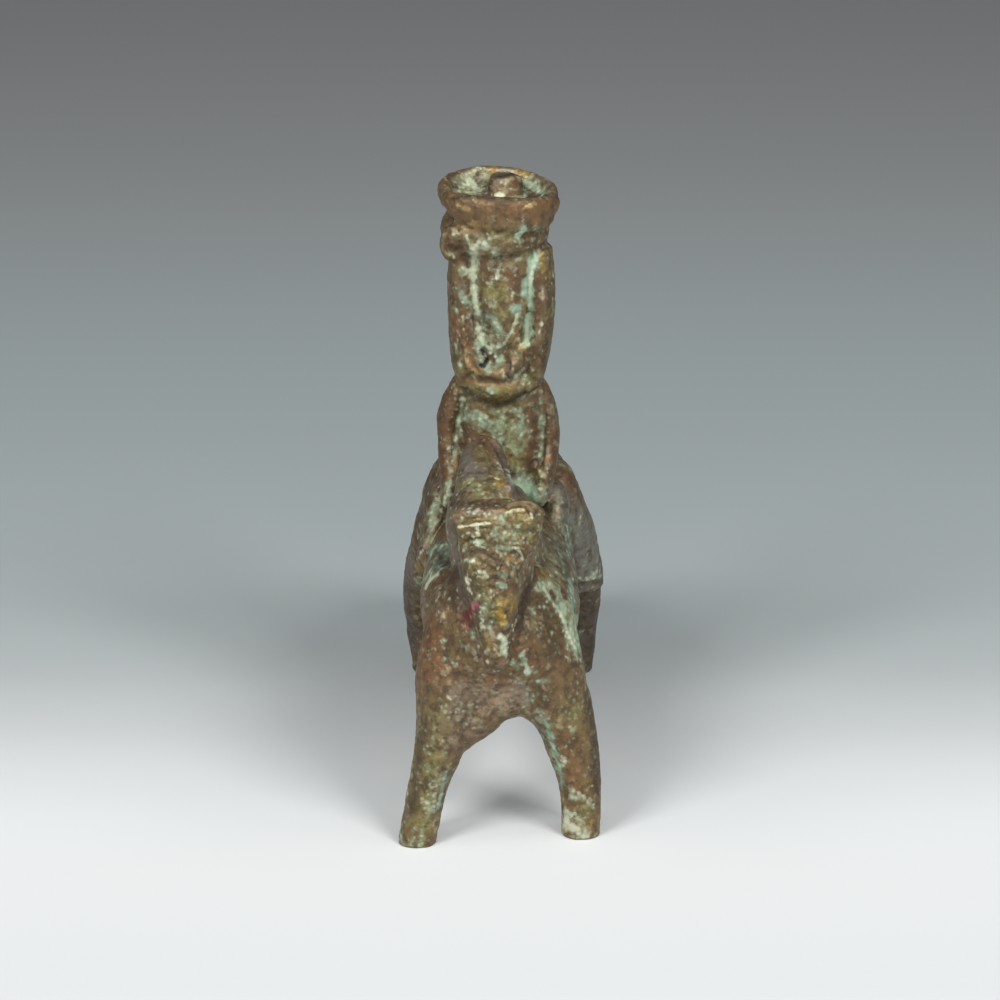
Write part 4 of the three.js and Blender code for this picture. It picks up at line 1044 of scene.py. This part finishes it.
    "croupBloom": stroke([(-3, 16, 44), (0, 24, 44), (3, 30, 42)], 2.4, seen="top", verdigris=0.5),
    "tailLine": stroke([(0, 40, 36), (0.3, 40, 28), (0.5, 40, 18)], 0.4, seen="back", depth=-0.25,
        verdigris=0.6),
    "flankHollowRight": stroke([(-12, -14, 36), (-12, -6, 33), (-12, 2, 34)], 1.6, seen="right",
        verdigris=0.6),
    "flankHollowLeft": stroke([(12, -2, 35), (12, 4, 32), (12, 10, 34)], 1.6, seen="left", verdigris=0.6),
    "girthRight": stroke([(-12, -12, 32), (-12, -14, 26), (-12, -13, 20)], 0.6, seen="right", depth=-0.3),
    "girthLeft": stroke([(12, -12, 32), (12, -14, 26), (12, -13, 20)], 0.6, seen="left", depth=-0.3),
    "neckLineRight": stroke([(-8, -30, 46), (-8, -24, 42), (-8, -19, 38)], 0.6, seen="right", depth=-0.3,
        verdigris=0.5),
    "neckLineLeft": stroke([(8, -30, 46), (8, -24, 42), (8, -19, 38)], 0.6, seen="left", depth=-0.3,
        verdigris=0.5),
}


def smoothPath(points):
    places = [Vector(point) + toOrigin for point in points]
    steps = ringsPerSpan * (len(points) - 1)
    return np.array([curvePoint(places, k / steps)[0] for k in range(steps + 1)])


def strokeMask(points, normals, one):
    facing = np.array(sides[one["seen"]])
    flat = np.identity(3) - (1 - depthShare) * np.outer(facing, facing)
    path = smoothPath(one["path"]) @ flat
    spots = points @ flat
    reach = fadeOut * one["width"]
    low, high = path.min(axis=0) - reach, path.max(axis=0) + reach
    close = np.flatnonzero(np.all((spots > low) & (spots < high), axis=1))
    spots = spots[close]
    nearest = np.full(len(close), np.inf)
    for start, end in zip(path, path[1:]):
        run = end - start
        along = np.clip(((spots - start) @ run) / max(run @ run, 1e-9), 0, 1)
        nearest = np.minimum(nearest, np.linalg.norm(spots - start - along[:, None] * run, axis=1))
    steepness, edgeOn = turnedAway
    lit = np.clip(normals[close] @ facing * steepness + edgeOn, 0, 1)
    mask = np.zeros(len(points))
    mask[close] = np.exp(-((nearest / one["width"]) ** 2)) * lit
    return mask


deepest = 1.5  # mm, a stroke's relief at full weight


def pressStrokes(casting):
    points, normals = readPoints(casting), readNormals(casting)
    relief = np.zeros(len(points))
    for pressed in strokes.values():
        if "depth" in pressed:
            relief += pressed["depth"] * strokeMask(points, normals, pressed)
    for name, way in (("pressedIn", -1), ("raised", 1)):
        group = writeGroup(casting, name, relief * way / deepest)
        applyModifier(casting, "DISPLACE", strength=way * deepest, mid_level=0, vertex_group=group)


# Hand work in the wax, and the grain of the casting

grains = {
    "waxLumps": dict(size=4.5, strength=0.32, kind="CLOUDS", everywhere=True),  # mm
    "thumbMarks": dict(size=1.7, strength=0.2, kind="CLOUDS", everywhere=True),
    "castSkin": dict(size=0.6, strength=0.14, kind="CLOUDS", everywhere=True),
    "crust": dict(size=0.95, strength=-0.9, kind="VORONOI", everywhere=False),
}


def roughen(casting):
    points, normals = readPoints(casting), readNormals(casting)
    crust = np.zeros(len(points))
    for rough in strokes.values():
        if "crust" in rough:
            crust = np.maximum(crust, rough["crust"] * strokeMask(points, normals, rough))
    crusted = writeGroup(casting, "crusted", crust)
    for name, grain in grains.items():
        texture = bpy.data.textures.new(name, grain["kind"])
        texture.noise_scale = grain["size"]
        if grain["kind"] == "CLOUDS":
            texture.noise_depth = 1
            texture.noise_type = "SOFT_NOISE"
        applyModifier(
            casting, "DISPLACE", texture=texture, texture_coords="LOCAL",
            strength=grain["strength"], mid_level=0.5, vertex_group="" if grain["everywhere"] else crusted,
        )


pressStrokes(casting)
roughen(casting)
print("wax worked")


# Finish of the mesh

smoothing = {"fine": 12, "broad": 90}  # rounds, which the fine and the broad relief are measured against
bronze = {
    "umber": (0.08, 0.054, 0.03),
    "brown": (0.188, 0.123, 0.06),
    "ruddy": (0.222, 0.113, 0.052),
    "russet": (0.165, 0.087, 0.044),
    "rosy": (0.28, 0.2, 0.145),
    "mauve": (0.18, 0.142, 0.115),
    "olive": (0.208, 0.178, 0.08),
    "moss": (0.25, 0.218, 0.078),
    "ochre": (0.33, 0.22, 0.075),
    "tan": (0.4, 0.31, 0.18),
    "brass": (0.5, 0.36, 0.14),
    "gold": (0.66, 0.43, 0.07),
    "rose": (0.6, 0.1, 0.17),
    "madder": (0.24, 0.035, 0.05),
    "grey": (0.205, 0.195, 0.16),
    # the shank's painted shade
    "shank": (0.135, 0.102, 0.078),
    "teal": (0.15, 0.21, 0.17),
    "sage": (0.3, 0.32, 0.2),
    "deepGreen": (0.165, 0.2, 0.115),
    "mint": (0.34, 0.44, 0.3),
    "aqua": (0.36, 0.6, 0.46),
    "cream": (0.56, 0.56, 0.38),
    # bright gold laid only as painted highlights
    "gilt": (0.72, 0.52, 0.22),
    # pale chalky patina, also laid as painted highlights and glints
    "paleChalk": (0.62, 0.63, 0.46),
    # the near-black of painted shade, laid in grooves, pits, outlines and under things
    "blackSoot": (0.02, 0.018, 0.014),
}


def keepInBox(casting):  # nothing stands outside the solid's box, and the soles are flat
    points = readPoints(casting)
    low, high = (np.array(corner) / mm for corner in solidBox)
    casting.data.vertices.foreach_set("co", np.clip(points, low, high).astype(np.float32).ravel())
    casting.data.update()


def finishMesh(casting):
    triangles = sum(len(face.vertices) - 2 for face in casting.data.polygons)
    applyModifier(casting, "DECIMATE", ratio=min(1, skin["triangles"] / triangles))
    keepInBox(casting)


def smoothed(points, edges, rounds):
    count = np.bincount(edges.ravel(), minlength=len(points)).astype(float)[:, None]
    for _ in range(rounds):
        total = np.zeros_like(points)
        for axis in range(3):
            total[:, axis] = np.bincount(edges[:, 0], points[edges[:, 1], axis], len(points))
            total[:, axis] += np.bincount(edges[:, 1], points[edges[:, 0], axis], len(points))
        points = 0.5 * points + 0.5 * total / count
    return points


def markSurface(casting):  # leaves on the mesh what the material follows
    points, normals = readPoints(casting), readNormals(casting)
    edges = np.empty(len(casting.data.edges) * 2, np.int32)
    casting.data.edges.foreach_get("vertices", edges)
    edges = edges.reshape(-1, 2)
    fine = smoothed(points, edges, smoothing["fine"])
    broad = smoothed(fine, edges, smoothing["broad"])
    writeAttribute(casting, "fineHeight", np.einsum("ij,ij->i", points - fine, normals))
    writeAttribute(casting, "broadHeight", np.einsum("ij,ij->i", fine - broad, normals))
    # two of these marks carry painted light: the pale one also paints highlights and glints, and the
    # near-black one paints shade in grooves, pits, outlines and under things
    marks = {mark: np.zeros(len(points)) for mark in ("verdigris", "chalk", "soot", "crust", "bare")}
    tints = np.zeros((len(points), 4))
    for laid in strokes.values():
        mask = strokeMask(points, normals, laid)
        if "bare" in laid:  # rubbed clean of what lies there
            marks["verdigris"] *= 1 - laid["bare"] * mask
            marks["chalk"] *= 1 - laid["bare"] * mask
        for mark in marks:
            if mark in laid:
                marks[mark] = np.maximum(marks[mark], laid[mark] * mask)
        for colour in laid:
            if colour in bronze:
                share = np.minimum(mask * laid[colour], 1)[:, None]
                tints = tints * (1 - share) + np.array((*bronze[colour], 1)) * share
    for mark, values in marks.items():
        writeAttribute(casting, mark, values)
    tints[:, :3] /= np.maximum(tints[:, 3:], 1e-4)
    tint = casting.data.attributes.new("tint", "FLOAT_COLOR", "POINT")
    tint.data.foreach_set("color", tints.astype(np.float32).ravel())


def toMetres(casting):
    pick([casting])
    bpy.ops.object.mode_set(mode="EDIT")
    bpy.ops.mesh.select_all(action="SELECT")
    sizeTo((mm, mm, mm), Matrix.Identity(3), (0, 0, 0))
    bpy.ops.object.mode_set(mode="OBJECT")
    bpy.ops.object.shade_smooth()


finishMesh(casting)
markSurface(casting)
toMetres(casting)
print("mesh finished:", len(casting.data.polygons), "faces")

# Materials

patina = {
    "patches": {  # how many a metre, and the noise levels between which each fades in
        "ruddy": (110, 0.4, 0.62),
        "olive": (300, 0.38, 0.66),
        "moss": (700, 0.5, 0.64),
        "russet": (560, 0.46, 0.62),
        "umber": (650, 0.42, 0.66),
        "mottle": (800, 0.3, 0.7),
        "darkened": (350, 0.35, 0.6),
        "tanned": (420, 0.36, 0.62),
        "crumbs": (260, 0.42, 0.62),
        "verdigris": (230, 0.44, 0.66),
        "mint": (600, 0.36, 0.64),
        "dull": (480, 0.4, 0.6),
    },
    "shares": {"olive": 0.8, "moss": 0.3, "russet": 0.6, "umber": 0.75},  # of the metal's colour
    "grains": (1200, 750, 930),  # a metre: small, middling and others of that size
    "grainDistance": (0.62, 0.12),  # where a grain starts and where it is whole
    "bend": {"Scale": 1200, "Detail": 2},  # what makes the grains uneven
    "bendBy": 0.0006,  # metres
    "levels": {  # where each starts to show and where it is full
        "hollow": (-0.01, -0.09),  # mm of fine relief
        "deep": (-0.1, -0.7),  # mm of broad relief
        "tint": (0.25, 0.95),
        "darkened": (0.3, 0.9),
        "tanned": (0.12, 0.6),
        "crumbs": (0.35, 0.95),
        "verdigris": (0.54, 1.04),
        "chalk": (0.62, 1.35),
    },
    "weights": {  # how much one thing counts where another is worked out
        "ragged": 0.75,  # a mark and the grains that break it up
        "flecks": 0.75,
        "flecksOnBare": 0.35,  # taken off the flecks there
        "crumbsOnCrust": 0.5,
        "dirtInDeep": 0.5,
        "dirtInHollow": 0.4,
        "verdigrisInHollow": 0.3,
        "verdigrisInDeep": 0.35,
        "verdigrisPatches": 0.52,
        "verdigrisPieces": (0.27, 0.3, 0.53),  # small grains, middling grains, mottle
        "tintInGreen": 0.5,
        "chalkOnGreen": 0.4,
        "chalkPieces": (0.55, 0.45),  # small grains, mottle
        "greenIsMineral": 0.8,
        "lumps": 0.35,
        "lumpsOnCrust": 0.65,
    },
    "metallic": 0.55,
    "roughness": 0.43,
    "dullness": 0.14,  # added to the roughness in patches
    "mineralRoughness": 0.25,  # added where verdigris or chalk lies
    "bump": {"Strength": 0.6, "Distance": 0.0003},
}


def addNode(tree, kind, values=None, **settings):
    node = tree.nodes.new(kind)
    for key, value in settings.items():
        setattr(node, key, value)
    for key, value in (values or {}).items():
        if hasattr(value, "is_output"):
            tree.links.new(value, node.inputs[key])
        else:
            node.inputs[key].default_value = value
    return node


def newGroup(name, inputs, outputs):
    group = bpy.data.node_groups.new(name, "ShaderNodeTree")
    for label, kind in inputs:
        group.interface.new_socket(name=label, in_out="INPUT", socket_type=kind)
    for label, kind in outputs:
        group.interface.new_socket(name=label, in_out="OUTPUT", socket_type=kind)
    return group, group.nodes.new("NodeGroupInput"), group.nodes.new("NodeGroupOutput")


def cloudGroup():  # soft-edged patches of noise between two levels
    numbers = [(label, "NodeSocketFloat") for label in ("Scale", "Low", "High")]
    group, given, made = newGroup(
        "clouds", [("Place", "NodeSocketVector"), *numbers], [("Mask", "NodeSocketFloat")]
    )
    noise = addNode(
        group, "ShaderNodeTexNoise",
        {"Vector": given.outputs["Place"], "Scale": given.outputs["Scale"], "Detail": 5, "Roughness": 0.6},
    )
    spread = addNode(
        group, "ShaderNodeMapRange",
        {"Value": noise.outputs["Fac"], "From Min": given.outputs["Low"], "From Max": given.outputs["High"]},
        interpolation_type="SMOOTHSTEP",
    )
    group.links.new(spread.outputs["Result"], made.inputs["Mask"])
    return group


def grainGroup():  # round grains: 1 in the middle of each, 0 between them
    group, given, made = newGroup(
        "grains", [("Place", "NodeSocketVector"), ("Scale", "NodeSocketFloat")], [("Mask", "NodeSocketFloat")]
    )
    place, scale = given.outputs["Place"], given.outputs["Scale"]
    start, whole = patina["grainDistance"]
    bent = addNode(group, "ShaderNodeTexNoise", {"Vector": place, **patina["bend"]})
    shift = addNode(group, "ShaderNodeVectorMath", {0: bent.outputs["Color"]}, operation="SCALE")
    shift.inputs["Scale"].default_value = patina["bendBy"]
    moved = addNode(group, "ShaderNodeVectorMath", {0: place, 1: shift.outputs["Vector"]}, operation="ADD")
    cells = addNode(group, "ShaderNodeTexVoronoi", {"Vector": moved.outputs["Vector"], "Scale": scale})
    distance = cells.outputs["Distance"]
    spread = addNode(group, "ShaderNodeMapRange", {"Value": distance, "From Min": start, "From Max": whole})
    group.links.new(spread.outputs["Result"], made.inputs["Mask"])
    return group


def mixColour(tree, factor, first, second):
    node = tree.nodes.new("ShaderNodeMix")
    node.data_type = "RGBA"
    for socket, value in ((node.inputs[0], factor), (node.inputs[6], first), (node.inputs[7], second)):
        if hasattr(value, "is_output"):
            tree.links.new(value, socket)
        else:
            socket.default_value = (*value, 1) if isinstance(value, tuple) else value
    return node.outputs[2]


def reckon(tree, operation, first, second):
    return addNode(tree, "ShaderNodeMath", {0: first, 1: second}, operation=operation).outputs[0]


def bronzeMaterial():
    material = bpy.data.materials.new("patinatedBronze")
    material.use_nodes = True
    tree = material.node_tree
    shader = tree.nodes["Principled BSDF"]
    place = addNode(tree, "ShaderNodeTexCoord").outputs["Object"]
    clouds, grains = cloudGroup(), grainGroup()
    levels, weights = patina["levels"], patina["weights"]

    def fromGroup(group, **numbers):
        node = addNode(tree, "ShaderNodeGroup", node_tree=group)
        tree.links.new(place, node.inputs["Place"])
        for label, value in numbers.items():
            node.inputs[label].default_value = value
        return node.outputs["Mask"]

    def patch(name):
        scale, low, high = patina["patches"][name]
        return fromGroup(clouds, Scale=scale, Low=low, High=high)

    def mark(name):
        return addNode(tree, "ShaderNodeAttribute", attribute_name=name).outputs["Fac"]

    def times(first, second):
        return reckon(tree, "MULTIPLY", first, second)

    def plus(first, second):
        return reckon(tree, "ADD", first, second)

    def less(first, second):
        return reckon(tree, "SUBTRACT", first, second)

    def most(first, second):
        return reckon(tree, "MAXIMUM", first, second)

    def between(value, low, high):
        spread = addNode(tree, "ShaderNodeMapRange", {"Value": value, "From Min": low, "From Max": high})
        return spread.outputs["Result"]

    def broken(value, pieces, level):  # a mark is broken up into grains, so that its edge is ragged
        return between(plus(times(value, weights["ragged"]), times(pieces, weights["ragged"])), *level)

    def patchy(colour, name):
        return mixColour(tree, times(patch(name), patina["shares"][name]), colour, bronze[name])

    small, middling, other = (fromGroup(grains, Scale=scale) for scale in patina["grains"])
    mottle = patch("mottle")
    crust, bare = mark("crust"), mark("bare")
    tint = addNode(tree, "ShaderNodeAttribute", attribute_name="tint")

    # the metal: brown and ruddy clouds, patches over them, then what was traced, then darker and paler flecks
    metal = mixColour(tree, patch("ruddy"), bronze["brown"], bronze["ruddy"])
    for name in ("olive", "moss", "russet"):
        metal = patchy(metal, name)
    tinted, tintColour = tint.outputs["Alpha"], tint.outputs["Color"]
    metal = mixColour(tree, broken(tinted, mottle, levels["tint"]), metal, tintColour)
    metal = patchy(metal, "umber")
    speckled = less(weights["flecks"], times(bare, weights["flecksOnBare"]))
    darkened = between(times(other, patch("darkened")), *levels["darkened"])
    metal = mixColour(tree, times(darkened, speckled), metal, bronze["umber"])
    tanned = between(times(times(middling, mottle), patch("tanned")), *levels["tanned"])
    metal = mixColour(tree, times(tanned, speckled), metal, bronze["tan"])
    crumbly = plus(patch("crumbs"), times(crust, weights["crumbsOnCrust"]))
    crumbs = between(times(small, crumbly), *levels["crumbs"])
    metal = mixColour(tree, times(crumbs, speckled), metal, bronze["sage"])
    hollow = between(mark("fineHeight"), *levels["hollow"])
    deep = between(mark("broadHeight"), *levels["deep"])
    # painted shade: darker in deep recesses and in hollows, where shade falls
    metal = mixColour(tree, times(deep, weights["dirtInDeep"]), metal, bronze["umber"])
    metal = mixColour(tree, times(hollow, weights["dirtInHollow"]), metal, bronze["umber"])

    # verdigris settles where it was traced, in shelter and in patches, but not where the metal is rubbed bare
    shelter = most(times(hollow, weights["verdigrisInHollow"]), times(deep, weights["verdigrisInDeep"]))
    free = times(plus(shelter, times(patch("verdigris"), weights["verdigrisPatches"])), less(1, bare))
    ofSmall, ofMiddling, ofMottle = weights["verdigrisPieces"]
    pieces = plus(times(small, ofSmall), plus(times(middling, ofMiddling), times(mottle, ofMottle)))
    greenness = broken(most(free, mark("verdigris")), pieces, levels["verdigris"])
    green = mixColour(tree, patch("mint"), bronze["deepGreen"], bronze["mint"])
    green = mixColour(tree, times(tinted, weights["tintInGreen"]), green, tintColour)
    colour = mixColour(tree, greenness, metal, green)

    # the pale chalk, which also paints highlights and glints, lies on top, and painted shade over it
    chalky = most(mark("chalk"), times(greenness, weights["chalkOnGreen"]))
    ofSmall, ofMottle = weights["chalkPieces"]
    chalk = broken(chalky, plus(times(small, ofSmall), times(mottle, ofMottle)), levels["chalk"])
    colour = mixColour(tree, chalk, colour, bronze["paleChalk"])
    # painted shade: near-black laid where shade falls, in grooves, pits, outlines and under things
    colour = mixColour(tree, mark("soot"), colour, bronze["blackSoot"])
    tree.links.new(colour, shader.inputs["Base Color"])

    mineral = most(times(greenness, weights["greenIsMineral"]), chalk)
    shine = less(patina["metallic"], times(mineral, patina["metallic"]))
    tree.links.new(shine, shader.inputs["Metallic"])
    rough = plus(patina["roughness"], times(mineral, patina["mineralRoughness"]))
    tree.links.new(plus(rough, times(patch("dull"), patina["dullness"])), shader.inputs["Roughness"])
    lumpy = times(plus(middling, mottle), plus(weights["lumps"], times(crust, weights["lumpsOnCrust"])))
    bump = addNode(tree, "ShaderNodeBump", {"Height": lumpy, **patina["bump"]})
    tree.links.new(bump.outputs["Normal"], shader.inputs["Normal"])
    return material


casting.data.materials.clear()
casting.data.materials.append(bronzeMaterial())
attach(casting, "root")
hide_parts("horse_and_rider")

# Studio

studio = {
    "paperSide": 8,  # metres
    "paperRoughness": 0.9,
    "paperGloss": 0.1,
    # the tones are painted light falloff: brightest a little in front of the middle, darker toward the back
    "paperTones": [  # mm behind the middle, tone, coolness
        (-80, 0.65, 0.025),
        (-40, 0.708, 0.015),
        (-19, 0.7, 0.032),
        (4, 0.611, 0.035),
        (28, 0.483, 0.06),
        (54, 0.404, 0.096),
        (82, 0.383, 0.11),
        (145, 0.369, 0.12),
        (218, 0.364, 0.12),
        (306, 0.357, 0.055),
        (412, 0.349, 0.02),
        (500, 0.348, 0.01),
    ],
    "lampAim": (0, 0, 40),  # mm
    "softboxes": [
        # degrees aside from the front, degrees up, mm away, size in mm, watts
        (-38, 46, 650, (200, 200), 2.4),
        (38, 46, 650, (200, 200), 2.4),
        (-75, 42, 600, (220, 300), 0.4),
        (75, 42, 600, (220, 300), 0.4),
        (0, 28, 800, (500, 300), 0.9),
    ],
    "world": (0.16, 0.168, 0.176),
}


def paperMaterial():
    material = bpy.data.materials.new("gradedPaper")
    material.use_nodes = True
    tree = material.node_tree
    shader = tree.nodes["Principled BSDF"]
    shader.inputs["Roughness"].default_value = studio["paperRoughness"]
    shader.inputs["Specular IOR Level"].default_value = studio["paperGloss"]
    near, far = studio["paperTones"][0][0], studio["paperTones"][-1][0]
    place = addNode(tree, "ShaderNodeTexCoord").outputs["Object"]
    # painted light falloff: the paper's tone changes from front to back
    back = addNode(tree, "ShaderNodeSeparateXYZ", {"Vector": place}).outputs["Y"]
    spread = addNode(tree, "ShaderNodeMapRange", {"Value": back, "From Min": near * mm, "From Max": far * mm})
    ramp = addNode(tree, "ShaderNodeValToRGB", {"Fac": spread.outputs["Result"]})
    ramp.color_ramp.interpolation = "CARDINAL"
    while len(ramp.color_ramp.elements) < len(studio["paperTones"]):
        ramp.color_ramp.elements.new(0.5)
    for stop, (behind, tone, cool) in zip(ramp.color_ramp.elements, studio["paperTones"]):
        stop.position = (behind - near) / (far - near)
        stop.color = (tone, tone * (1 + cool), tone * (1 + cool), 1)
    tree.links.new(ramp.outputs["Color"], shader.inputs["Base Color"])
    return material


def addPaper():
    deselectAll()
    bpy.ops.mesh.primitive_plane_add(size=studio["paperSide"], location=(0, 0, 0))
    paper = bpy.context.object
    paper.name = "paperFloor"
    paper.data.materials.append(paperMaterial())


def addLights():
    aim = Vector(studio["lampAim"]) * mm
    for aside, up, away, size, watts in studio["softboxes"]:
        turn, rise = math.radians(aside), math.radians(up)
        out = Vector((math.sin(turn) * math.cos(rise), -math.cos(turn) * math.cos(rise), math.sin(rise)))
        bpy.ops.object.light_add(type="AREA", location=aim + out * away * mm)
        lamp = bpy.context.object
        lamp.name = "softbox"
        lamp.data.shape = "RECTANGLE"
        lamp.data.size = size[0] * mm
        lamp.data.size_y = size[1] * mm
        lamp.data.energy = watts
        lamp.rotation_euler = out.to_track_quat("Z", "Y").to_euler()
        lamp.visible_camera = False


def setWorld():
    scene = bpy.context.scene
    scene.world = bpy.data.worlds.new("studioAir")
    scene.world.use_nodes = True
    air = scene.world.node_tree.nodes["Background"]
    air.inputs["Color"].default_value = (*studio["world"], 1)
    air.inputs["Strength"].default_value = 1
    scene.view_settings.view_transform = "Standard"


addPaper()
addLights()
setWorld()
print("studio lit")
